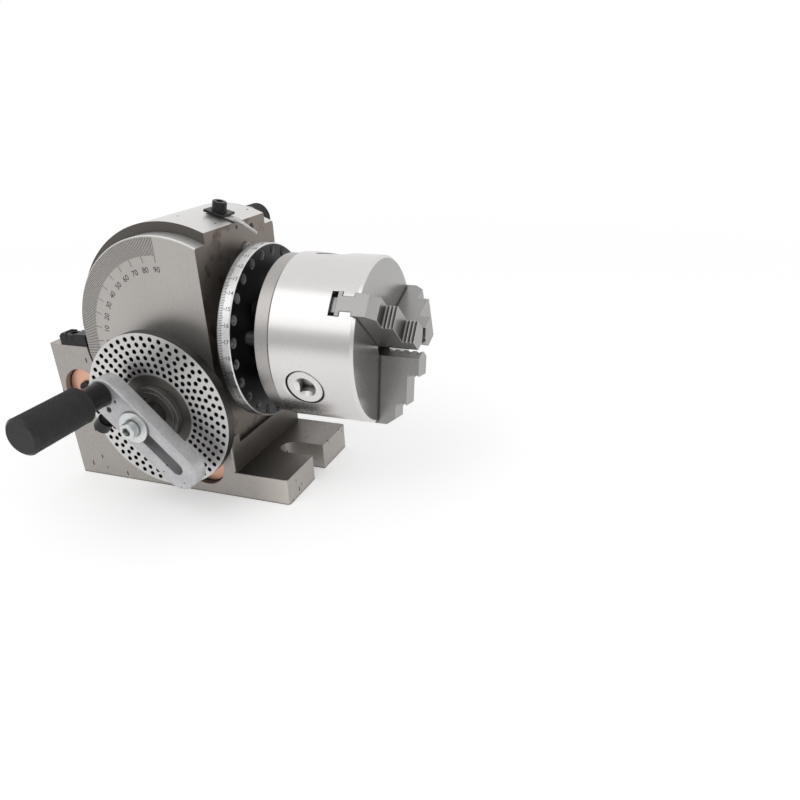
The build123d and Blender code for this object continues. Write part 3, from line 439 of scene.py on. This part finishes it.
def rimBright(tree, coordinates, shade):
    axes = addAxes(tree, coordinates)
    radius = addSpindleRadius(tree, axes)
    inside = addMath(tree, "LESS_THAN", radius, dialRadius - dialValues["chamfer"])
    outside = addMath(tree, "SUBTRACT", 1.0, inside)
    # Painted shade: the hole walls darken deeper in
    deep = addRange(tree, axes["X"], dialFront - dialValues["mouthFrom"], dialFront - dialValues["mouthTo"])
    front = addMath(tree, "GREATER_THAN", axes["X"], dialFront - faceDepth)
    black = addProduct(tree, addMath(tree, "MAXIMUM", front, deep), inside)
    # Painted shade: a grey band standing in for the rim's rear bevel
    edge = addProduct(tree, addMath(tree, "LESS_THAN", axes["X"], dialEdge - faceDepth), outside)
    wall = addProduct(tree, inside, addMath(tree, "LESS_THAN", radius, dialValues["wallRadius"]))
    edged = addMixed(tree, edge, shade, dialValues["edgeColour"])
    walled = addMixed(tree, wall, edged, dialValues["wallColour"])
    return addMixed(tree, black, walled, dialValues["faceColour"])


# Head: front face in painted shade with stains over it, dark drum ends beyond the discs, and rolled surfaces
# lightened towards the top as painted light
headTones = {
    "endRadius": 0.0658, "endPlace": 0.0348, "rolledRadius": 0.0652, "highFrom": 0.012, "highTo": 0.055,
    "stainScale": 90.0, "stainDetail": 4.0, "stainFrom": 0.55, "stainTo": 0.68,
    # front is painted shade on the front face, stain is real staining, and top is painted light on the upper
    # rolled surfaces
    "front": (0.23, 0.20, 0.175), "stain": (0.13, 0.10, 0.08), "top": (0.74, 0.73, 0.72),
    "end": (0.11, 0.10, 0.09),
}


def headShade(tree, coordinates, shade):
    tones = headTones
    axes = addAxes(tree, coordinates)
    radius = addTiltRadius(tree, axes)
    ends = addProduct(tree, addMath(tree, "GREATER_THAN", radius, tones["endRadius"]),
                      addMath(tree, "GREATER_THAN", addMath(tree, "ABSOLUTE", axes["Y"]), tones["endPlace"]))
    # Painted shade: the front face darkened, with stains over it
    front = addMath(tree, "GREATER_THAN", axes["X"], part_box("head_casting")[1].x - faceDepth)
    noise = addNoise(tree, coordinates, tones["stainScale"], tones["stainDetail"])
    stained = addRange(tree, noise, tones["stainFrom"], tones["stainTo"])
    faced = addMixed(tree, stained, tones["front"], tones["stain"])
    # Painted light: rolled surfaces lightened towards the top
    high = addRange(tree, addSpindleHeight(tree, axes), tones["highFrom"], tones["highTo"])
    rolled = addProduct(tree, addMath(tree, "GREATER_THAN", radius, tones["rolledRadius"]), high)
    topped = addMixed(tree, rolled, shade, tones["top"])
    return addMixed(tree, ends, addMixed(tree, front, topped, faced), tones["end"])


# Base: feet in painted shade on top, darker than at the sides and darkest at the cradle, the cradle wall
# in painted shade low down, and painted light on the near side towards the front
baseTones = {
    # The foot colour and the darker colour near the cradle are painted shade on the foot tops, the wall
    # colour is painted shade low on the cradle wall, and lit is painted light
    "footTop": 0.018, "foot": (0.24, 0.224, 0.208),
    "grimeFrom": 0.060, "grimeTo": 0.036, "grime": (0.09, 0.081, 0.072),
    "wallPlace": 0.0305, "wallFoot": 0.0002, "wallFrom": 0.060, "wallTo": 0.030, "wall": (0.13, 0.115, 0.10),
    "sideDepth": 0.0006, "litFrom": 0.045, "litShare": 0.8, "lit": (0.64, 0.585, 0.54),
}


def baseShade(tree, coordinates, shade):
    tones, (low, high) = baseTones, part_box("base")
    axes = addAxes(tree, coordinates)
    above = addMath(tree, "SUBTRACT", axes["Z"], tones["footTop"])
    level = addMath(tree, "LESS_THAN", addMath(tree, "ABSOLUTE", above), faceDepth)
    inside = addMath(tree, "GREATER_THAN", axes["Y"], low.y + tones["sideDepth"])
    outside = addMath(tree, "SUBTRACT", 1.0, inside)
    # Painted shade on the foot tops, deepest near the cradle
    near = addRange(tree, axes["X"], tones["grimeFrom"], tones["grimeTo"])
    topped = addMixed(tree, addProduct(tree, level, inside), shade,
                      addMixed(tree, near, tones["foot"], tones["grime"]))
    # Painted shade low down on the cradle wall
    wall = addProduct(tree, addMath(tree, "GREATER_THAN", axes["X"], tones["wallPlace"]),
                      addMath(tree, "GREATER_THAN", axes["Z"], tones["footTop"] + tones["wallFoot"]), inside,
                      addRange(tree, axes["Z"], tones["wallFrom"], tones["wallTo"]))
    walled = addMixed(tree, wall, topped, tones["wall"])
    forward = addRange(tree, axes["X"], tones["litFrom"], high.x, 0.0, tones["litShare"])
    return addMixed(tree, addProduct(tree, outside, forward), walled, tones["lit"])


# Chuck: the front face is greyer than its ground outside, with a dark line where it meets the back plate
chuckTones = {"faceRadius": 0.0488, "face": (0.37, 0.365, 0.36),
              "lineWidth": 0.0005, "line": (0.03, 0.028, 0.026)}


def chuckFace(tree, coordinates, shade):
    tones, (low, high) = chuckTones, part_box("chuck_body")
    axes = addAxes(tree, coordinates)
    front = addMath(tree, "GREATER_THAN", axes["X"], high.x - faceDepth)
    inside = addMath(tree, "LESS_THAN", addSpindleRadius(tree, axes), tones["faceRadius"])
    faced = addMixed(tree, addProduct(tree, front, inside), shade, tones["face"])
    rear = addMath(tree, "LESS_THAN", axes["X"], low.x + tones["lineWidth"])
    return addMixed(tree, rear, faced, tones["line"])


# Fine turned rings along the worm shaft and its hub
hubRingValues = {"pitch": 0.0012, "share": 0.22}


def hubRings(tree, coordinates):
    along = addMath(tree, "DIVIDE", addAxes(tree, coordinates)["Y"], hubRingValues["pitch"])
    return addMath(tree, "LESS_THAN", addMath(tree, "FRACT", along), hubRingValues["share"])


# Index plate: ground face, dark edge, and a dark middle inside the hole circles as a painted reflection
plateTones = {"faceDepth": 0.00015, "middleFrom": 0.0246, "middleTo": 0.0236, "middle": (0.17, 0.16, 0.145),
              "edge": (0.075, 0.072, 0.07)}


def plateFace(tree, coordinates, shade):
    tones = plateTones
    axes = addAxes(tree, coordinates)
    onFace = addMath(tree, "LESS_THAN", axes["Y"], plateFront + tones["faceDepth"])
    across = addMath(tree, "SUBTRACT", axes["X"], wormX)
    height = addMath(tree, "SUBTRACT", axes["Z"], wormHeight)
    # Painted reflection: the middle darkened inside the hole circles
    middle = addRange(tree, addLength(tree, across, height), tones["middleFrom"], tones["middleTo"])
    return addMixed(tree, onFace, tones["edge"], addMixed(tree, middle, shade, tones["middle"]))


# Meshes and pieces
def finishMesh(name, made):
    mesh = bpy.data.meshes.new(name)
    made.to_mesh(mesh)
    made.free()
    return mesh


def placePiece(name, mesh, body, material, replaced=()):
    mesh.materials.clear()
    mesh.materials.append(material)
    piece = bpy.data.objects.new(name, mesh)
    scene.collection.objects.link(piece)
    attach(piece, body)
    if replaced:
        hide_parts(*replaced)


def joinMeshes(name, parts):
    joined = bmesh.new()
    for mesh, matrix in parts:
        mesh.transform(matrix)
        joined.from_mesh(mesh)
        bpy.data.meshes.remove(mesh)
    return finishMesh(name, joined)


def textMesh(words, size, depth):
    curve = bpy.data.curves.new("numeral", "FONT")
    curve.body, curve.size, curve.extrude = words, size, depth
    curve.align_x, curve.align_y = "CENTER", "CENTER"
    holder = bpy.data.objects.new("numeral", curve)
    mesh = bpy.data.meshes.new_from_object(holder)
    bpy.data.objects.remove(holder)
    bpy.data.curves.remove(curve)
    return mesh


# Numbers of the tilt scale, every ten degrees
tiltNumeralValues = {"count": 10, "step": 10, "size": 0.0046, "radius": 0.0465, "depth": 0.00003}


def makeTiltNumerals(values):
    parts = []
    for k in range(values["count"]):
        a = math.radians(180 - values["step"] * k)
        right = Vector((math.sin(a), 0, -math.cos(a)))
        up = Vector((math.cos(a), 0, math.sin(a)))
        axes = Matrix((right, up, right.cross(up))).transposed().to_4x4()
        place = Vector((0, discFace, spindleHeight)) + up * values["radius"]
        words = textMesh(str(values["step"] * k), values["size"], values["depth"])
        parts.append((words, Matrix.Translation(place) @ axes))
    placePiece("tiltNumerals", joinMeshes("tiltNumerals", parts), "head_group", engraving)


# Numbers on the direct plate's rim, upright when the spindle lies level
rimNumeralValues = {"count": 36, "size": 0.0035, "place": 0.0052, "sunk": 0.00001, "depth": 0.00003}


def makeRimNumerals(values):
    parts = []
    for k in range(values["count"]):
        a = 2 * math.pi * k / values["count"]
        out = Vector((0, math.cos(a), math.sin(a)))
        up = Vector((0, math.sin(a), -math.cos(a)))
        axes = Matrix((up.cross(out), up, out)).transposed().to_4x4()
        place = Vector((dialEdge + values["place"], 0, spindleHeight)) + out * (dialRadius - values["sunk"])
        words = textMesh(str(k), values["size"], values["depth"])
        parts.append((words, Matrix.Translation(place) @ axes))
    placePiece("rimNumerals", joinMeshes("rimNumerals", parts), "spindle_group", engraving)


# Index plate. Each hole circle is a number of holes and the radius that they lie on.
plateValues = {"Radius": 0.0497, "Bore Radius": 0.0151, "Thickness": 0.0068, "Hole Radius": 0.0015,
               "Phase": math.radians(135)}
holeCircles = [(37, 0.0266), (39, 0.0306), (41, 0.0346), (43, 0.0386), (47, 0.0426), (49, 0.0466)]
plateDetail = {"outlineSteps": 180, "boreSteps": 64, "holeSteps": 16, "mergeDistance": 0.000001}


# One circle of round holes, as closed curves in the XY plane
def makeHoleCircleGroup():
    group, given, result = newGroup(
        "holeCircle", "GeometryNodeTree",
        [("Count", "NodeSocketInt", 12), ("Circle Radius", "NodeSocketFloat", 0.03),
         ("Hole Radius", "NodeSocketFloat", 0.0015), ("Phase", "NodeSocketFloat", 0.0)],
        [("Geometry", "NodeSocketGeometry")])
    ring = addNode(group, "GeometryNodeMeshCircle", {
        "Vertices": given["Count"], "Radius": given["Circle Radius"]})
    hole = addNode(group, "GeometryNodeCurvePrimitiveCircle", {
        "Resolution": plateDetail["holeSteps"], "Radius": given["Hole Radius"]})
    placed = addNode(group, "GeometryNodeInstanceOnPoints", {
        "Points": ring["Mesh"], "Instance": hole["Curve"]})
    real = addNode(group, "GeometryNodeRealizeInstances", {"Geometry": placed["Instances"]})
    angles = addNode(group, "ShaderNodeCombineXYZ", {"Z": given["Phase"]})
    turned = addNode(group, "GeometryNodeTransform", {
        "Geometry": real["Geometry"], "Rotation": angles["Vector"]})
    connect(group, turned["Geometry"], result["Geometry"])
    return group


def joinCurves(tree, parts):
    joined = tree.nodes.new("GeometryNodeJoinGeometry")
    for part in parts:
        tree.links.new(part, joined.inputs[0])
    return joined.outputs[0]


# The outline, bore and hole circles filled as one face, then given thickness
def makePlateGroup():
    group, given, result = newGroup(
        "indexPlate", "GeometryNodeTree",
        [("Radius", "NodeSocketFloat", 0.05), ("Bore Radius", "NodeSocketFloat", 0.015),
         ("Thickness", "NodeSocketFloat", 0.007), ("Hole Radius", "NodeSocketFloat", 0.0015),
         ("Phase", "NodeSocketFloat", 0.0), ("Material", "NodeSocketMaterial", None)],
        [("Geometry", "NodeSocketGeometry")])
    curves = []
    for steps, radius in ((plateDetail["outlineSteps"], "Radius"), (plateDetail["boreSteps"], "Bore Radius")):
        curves.append(addNode(group, "GeometryNodeCurvePrimitiveCircle", {
            "Resolution": steps, "Radius": given[radius]})["Curve"])
    circleGroup = makeHoleCircleGroup()
    for count, radius in holeCircles:
        curves.append(addNode(group, "GeometryNodeGroup", {
            "Count": count, "Circle Radius": radius, "Hole Radius": given["Hole Radius"],
            "Phase": given["Phase"]}, node_tree=circleGroup)["Geometry"])
    face = addNode(group, "GeometryNodeFillCurve", {"Curve": joinCurves(group, curves)})
    flipped = addNode(group, "GeometryNodeFlipFaces", {"Mesh": face["Mesh"]})
    raised = addNode(group, "GeometryNodeExtrudeMesh", {
        "Mesh": face["Mesh"], "Offset Scale": given["Thickness"], "Individual": False})
    both = joinCurves(group, [raised["Mesh"], flipped["Mesh"]])
    whole = addNode(group, "GeometryNodeMergeByDistance", {
        "Geometry": both, "Distance": plateDetail["mergeDistance"]})
    real = addNode(group, "GeometryNodeRealizeInstances", {"Geometry": whole["Geometry"]})
    finished = addNode(group, "GeometryNodeSetMaterial", {
        "Geometry": real["Geometry"], "Material": given["Material"]})
    connect(group, finished["Geometry"], result["Geometry"])
    return group


# Runs a geometry node group on an empty mesh and gives back the plain mesh that it makes
def bakeGroup(name, group, values):
    holder = bpy.data.objects.new(name, bpy.data.meshes.new(name))
    scene.collection.objects.link(holder)
    modifier = holder.modifiers.new("build", "NODES")
    modifier.node_group = group
    for item in group.interface.items_tree:
        if item.item_type == "SOCKET" and item.in_out == "INPUT":
            modifier[item.identifier] = values[item.name]
    bpy.context.view_layer.update()
    made = holder.evaluated_get(bpy.context.evaluated_depsgraph_get())
    mesh = bpy.data.meshes.new_from_object(made)
    bpy.data.objects.remove(holder)
    return mesh


def makeIndexPlate(values):
    mesh = bakeGroup("indexPlate", makePlateGroup(), {**values, "Material": indexSteel})
    # the group's +Z side becomes the face that looks along -Y
    turn = Matrix.Rotation(math.radians(90), 4, "X")
    mesh.transform(Matrix.Translation((wormX, plateBack, wormHeight)) @ turn)
    placePiece("indexPlate", mesh, "head_group", indexSteel, ["index_plate"])


# Points of a round-ended outline from -low to high along X
def longOutline(low, high, radius, offset=0.0, steps=24):
    points = []
    for centre, start in ((high, -90), (-low, 90)):
        for i in range(steps + 1):
            a = math.radians(start + 180 * i / steps)
            points.append((centre + radius * math.cos(a), offset + radius * math.sin(a)))
    return points


def roundOutline(radius, x=0.0, y=0.0, steps=40):
    turns = [2 * math.pi * i / steps for i in range(steps)]
    return [(x + radius * math.cos(a), y + radius * math.sin(a)) for a in turns]


# A solid from outlines stacked along Z, with wells from the top; a well of no depth goes right through
def stackedMesh(name, layers, wells, sharpAngle=35):
    mesh = bmesh.new()

    def ring(points, z):
        verts = [mesh.verts.new((x, y, z)) for x, y in points]
        return verts, [mesh.edges.new((a, b)) for a, b in zip(verts, verts[1:] + verts[:1])]

    def wall(low, high):
        for i in range(len(low)):
            k = (i + 1) % len(low)
            mesh.faces.new((low[i], low[k], high[k], high[i]))

    skins = [ring(points, z) for points, z in layers]
    for (low, _), (high, _) in zip(skins, skins[1:]):
        wall(low, high)
    bottomHeight, topHeight = layers[0][1], layers[-1][1]
    bottom, top = list(skins[0][1]), list(skins[-1][1])
    for points, depth in wells:
        mouth, mouthEdges = ring(points, topHeight)
        foot, footEdges = ring(points, topHeight - depth if depth else bottomHeight)
        wall(foot, mouth)
        top += mouthEdges
        if depth:
            mesh.faces.new(foot)
        else:
            bottom += footEdges
    for edges in (bottom, top):
        bmesh.ops.triangle_fill(mesh, edges=edges, use_beauty=True)
    bmesh.ops.recalc_face_normals(mesh, faces=mesh.faces)
    made = finishMesh(name, mesh)
    made.shade_smooth()
    made.set_sharp_from_angle(angle=math.radians(sharpAngle))
    return made


# Crank arm, a little wider than its CAD solid and off its middle line, as in the photo.
# Each hole is a radius, a place along the arm and a place across it.
armValues = {"angle": math.radians(-135), "width": 0.0226, "offset": 0.0011, "low": 0.037, "high": 0.0246,
             "fillet": 0.0012, "filletSteps": 4, "slotWidth": 0.008, "slotLow": 0.0345, "slotHigh": 0.0034,
             "borePlace": 0.0266, "boreRadius": 0.00605,
             "holes": [(0.0018, 0.0177, 0.0047), (0.0010, 0.0177, -0.0034)], "holeDepth": 0.006}


# From the arm's own axes, along X and outwards along Z, to its place on the worm shaft
def armPlace(values):
    back = -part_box("crank_arm")[1].y
    return (Matrix.Translation((wormX, 0, wormHeight)) @ Matrix.Rotation(values["angle"], 4, "Y")
            @ Matrix.Rotation(math.radians(90), 4, "X") @ Matrix.Translation((0, 0, back)))


def armThickness():
    low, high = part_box("crank_arm")
    return high.y - low.y


def makeArm(values):
    low, high, offset, fillet = values["low"], values["high"], values["offset"], values["fillet"]
    thickness, radius = armThickness(), values["width"] / 2
    layers = [(longOutline(low, high, radius, offset), 0)]
    for i in range(values["filletSteps"] + 1):
        a = math.radians(90 * i / values["filletSteps"])
        outline = longOutline(low, high, radius - fillet * (1 - math.cos(a)), offset)
        layers.append((outline, thickness - fillet + fillet * math.sin(a)))
    wells = [(longOutline(values["slotLow"], values["slotHigh"], values["slotWidth"] / 2, steps=16), None),
             (roundOutline(values["boreRadius"], values["borePlace"]), None)]
    for r, along, across in values["holes"]:
        wells.append((roundOutline(r, along, across, steps=20), values["holeDepth"]))
    mesh = stackedMesh("crankArm", layers, wells)
    mesh.transform(armPlace(values))
    placePiece("crankArm", mesh, "crank_group", armMetal, ["crank_arm"])


# Pinch screw in the arm's side, sunk into it, with a gap under its head
pinchValues = {"place": 0.0168, "gap": 0.0055, "sunk": 0.004, "shank": 0.003, "step": 0.00001,
               "head": 0.005, "headLength": 0.008, "chamfer": 0.0005, "socket": 0.0029, "socketDepth": 0.0035}


def makePinchScrew(values, arm):
    seat = values["sunk"] + values["gap"]
    end = seat + values["headLength"]
    skin = [(values["shank"], 0), (values["shank"], seat), (values["head"], seat + values["step"]),
            (values["head"], end - values["chamfer"]), (values["head"] - values["chamfer"], end)]
    socket = (roundOutline(values["socket"], steps=6), values["socketDepth"])
    mesh = stackedMesh("pinchScrew", [(roundOutline(r), z) for r, z in skin], [socket])
    side = arm["offset"] + arm["width"] / 2 - values["sunk"]
    mesh.transform(armPlace(arm) @ Matrix.Translation((values["place"], side, armThickness() / 2))
                   @ Matrix.Rotation(math.radians(-90), 4, "X"))
    placePiece("pinchScrew", mesh, "crank_group", blackSteel, ["pinch_screw"])


# Diamond knurl on a round knob along +Z: rows of a fine grid pushed in by two crossing waves.
# plainEnd is the share of the length that is left plain at each end.
def knurledMesh(name, radius, length, ridges, depth, slant, plainEnd, chamfer, pitch=0.00035, perRidge=4):
    mesh = bmesh.new()
    around, along = ridges * perRidge, int(length / pitch)
    rings = []
    for j in range(along + 1):
        z = length * j / along
        knurled = length * plainEnd < z < length * (1 - plainEnd)
        ring = []
        for i in range(around):
            a, twist = 2 * math.pi * i / around, slant * z
            wave = abs(math.sin(ridges * (a + twist) / 2)) * abs(math.sin(ridges * (a - twist) / 2))
            r = radius - (depth * (1 - wave) if knurled else 0)
            edge = min(z, length - z)
            if edge < chamfer:
                r = min(r, radius - (chamfer - edge))
            ring.append(mesh.verts.new((r * math.cos(a), r * math.sin(a), z)))
        rings.append(ring)
    for low, high in zip(rings, rings[1:]):
        for i in range(around):
            k = (i + 1) % around
            mesh.faces.new((low[i], low[k], high[k], high[i]))
    mesh.faces.new(list(reversed(rings[0])))
    mesh.faces.new(rings[-1])
    return finishMesh(name, mesh)


plungerKnob = {"ridges": 48, "depth": 0.00045, "slant": 90.0, "plainEnd": 0.04, "chamfer": 0.0016}
lockKnob = {"ridges": 44, "depth": 0.00045, "slant": 90.0, "plainEnd": 0.08, "chamfer": 0.0008}


# A knob stands out towards the viewer, along -Y, or away from them
def makeKnob(name, values, node, body, towardsViewer):
    low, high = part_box(node)
    mesh = knurledMesh(name, (high.x - low.x) / 2, high.y - low.y, **values)
    start, turn = (high.y, 90) if towardsViewer else (low.y, -90)
    mesh.transform(Matrix.Translation(((low.x + high.x) / 2, start, (low.z + high.z) / 2))
                   @ Matrix.Rotation(math.radians(turn), 4, "X"))
    placePiece(name, mesh, body, blackKnurl, [node])


def paint(material, *names):
    for name in names:
        nodes[name].data.materials.clear()
        nodes[name].data.materials.append(material)


makeCamera(cameraValues)
makeStudio(lightValues)
makeFloor(floorValues)
metalGroup = makeMetalGroup(surfaceValues)
scaleGroup = makeScaleGroup()
print("stage: camera, light and shader groups")

# The seam values below set painted shade in seams and recesses, and the wear values set worn edges with a
# painted highlight
castHead = makeMetal("castHead", (0.515, 0.49, 0.465), tiltMarks, headShade, darker=0.84, metallic=0.85,
                     roughness=0.36, grain=1400.0, cloud=18.0, stretch=(1, 1, 0.25), pitShare=0.02,
                     pitScale=300.0, bump=0.10)
castBase = makeMetal("castBase", (0.47, 0.44, 0.41), colourOf=baseShade, darker=0.78, metallic=0.85,
                     roughness=0.38, grain=1200.0, cloud=16.0, stretch=(1, 1, 0.3), pitShare=0.10,
                     pitScale=420.0, bump=0.16, edge=0.0006)
indexSteel = makeMetal("indexSteel", (0.66, 0.65, 0.64), colourOf=plateFace, darker=0.85, metallic=0.95,
                       roughness=0.32, grain=1500.0, cloud=30.0)
hubSteel = makeMetal("hubSteel", (0.29, 0.28, 0.27), hubRings, metallic=0.95, roughness=0.28)
chuckSteel = makeMetal("chuckSteel", (0.70, 0.685, 0.68), colourOf=chuckFace, darker=0.96, roughness=0.26,
                       roughSpread=0.02, grain=600.0, cloud=20.0, bump=0.0, wear=0.5, seam=0.95)
pinionSteel = makeMetal("pinionSteel", (0.82, 0.805, 0.80), darker=0.9, roughness=0.26, bump=0.03, wear=0.4,
                        seam=0.95, seamReach=0.004)
backSteel = makeMetal("backSteel", (0.46, 0.44, 0.425), darker=0.85, roughness=0.30, bump=0.05)
jawSteel = makeMetal("jawSteel", (0.35, 0.345, 0.335), darker=0.8, roughness=0.28, bump=0.04, edge=0.0005,
                     wear=0.7, seam=0.95, seamReach=0.0022)
brightSteel = makeMetal("brightSteel", (0.62, 0.61, 0.60), roughness=0.3, bump=0.05)
dialSteel = makeMetal("dialSteel", (0.74, 0.74, 0.74), rimMarks, rimBright, darker=0.9, roughness=0.34,
                      bump=0.05, pitColour=(0.02, 0.02, 0.02))
blackSteel = makeMetal("blackSteel", (0.028, 0.028, 0.030), darker=0.6, metallic=0.6, roughness=0.34)
blackKnurl = makeMetal("blackKnurl", (0.04, 0.04, 0.042), darker=0.6, metallic=0.6, roughness=0.38, bump=0.05,
                       edge=0.00005)
copper = makeMetal("copper", (0.78, 0.46, 0.34), darker=0.85, roughness=0.34, bump=0.08)
zinc = makeMetal("zinc", (0.70, 0.72, 0.72), darker=0.8, roughness=0.3, cloud=60.0, bump=0.12)
armMetal = makeMetal("armMetal", (0.62, 0.615, 0.63), darker=0.76, metallic=0.7, roughness=0.42, grain=700.0,
                     cloud=90.0, bump=0.4, pitShare=0.08, pitScale=380.0, pitColour=(0.14, 0.14, 0.15),
                     edge=0.0008, wear=0.35)
bronze = makeMetal("bronze", (0.60, 0.42, 0.20), roughness=0.35)
engraving = makeMetal("engraving", (0.03, 0.028, 0.027), metallic=0.2, roughness=0.6, edge=0.00001)

paint(castHead, "head_casting")
paint(castBase, "base")
paint(hubSteel, "worm_housing", "index_nut", "worm_shaft", "thrust_collar")
paint(chuckSteel, "chuck_body")
paint(backSteel, "back_plate")
paint(jawSteel, "jaw_1", "jaw_2", "jaw_3")
paint(pinionSteel, "pinion_1", "pinion_2", "pinion_3")
paint(brightSteel, "spindle", "ring_nut", "scroll", "chuck_cover", "pointer", "lock_pin", "lock_shaft",
      "plunger_spring")
paint(dialSteel, "direct_plate")
paint(blackSteel, "clamp_blocks", "clamp_screws", "tie_bolts", "tie_nuts", "plunger_sleeve", "plunger_pin",
      "chuck_bolts", "pointer_screw", "pointer_plate", "direct_screws")
paint(copper, "tie_washers")
paint(zinc, "arm_washer", "arm_screw", "index_screws")
paint(bronze, "front_bush", "rear_bush", "tail_bush", "worm_wheel")
print("stage: materials")

makeIndexPlate(plateValues)
makeArm(armValues)
makePinchScrew(pinchValues, armValues)
makeKnob("plungerKnob", plungerKnob, "plunger_knob", "plunger_group", towardsViewer=True)
makeKnob("lockKnob", lockKnob, "lock_knob", "lock_knob_group", towardsViewer=False)
makeTiltNumerals(tiltNumeralValues)
makeRimNumerals(rimNumeralValues)
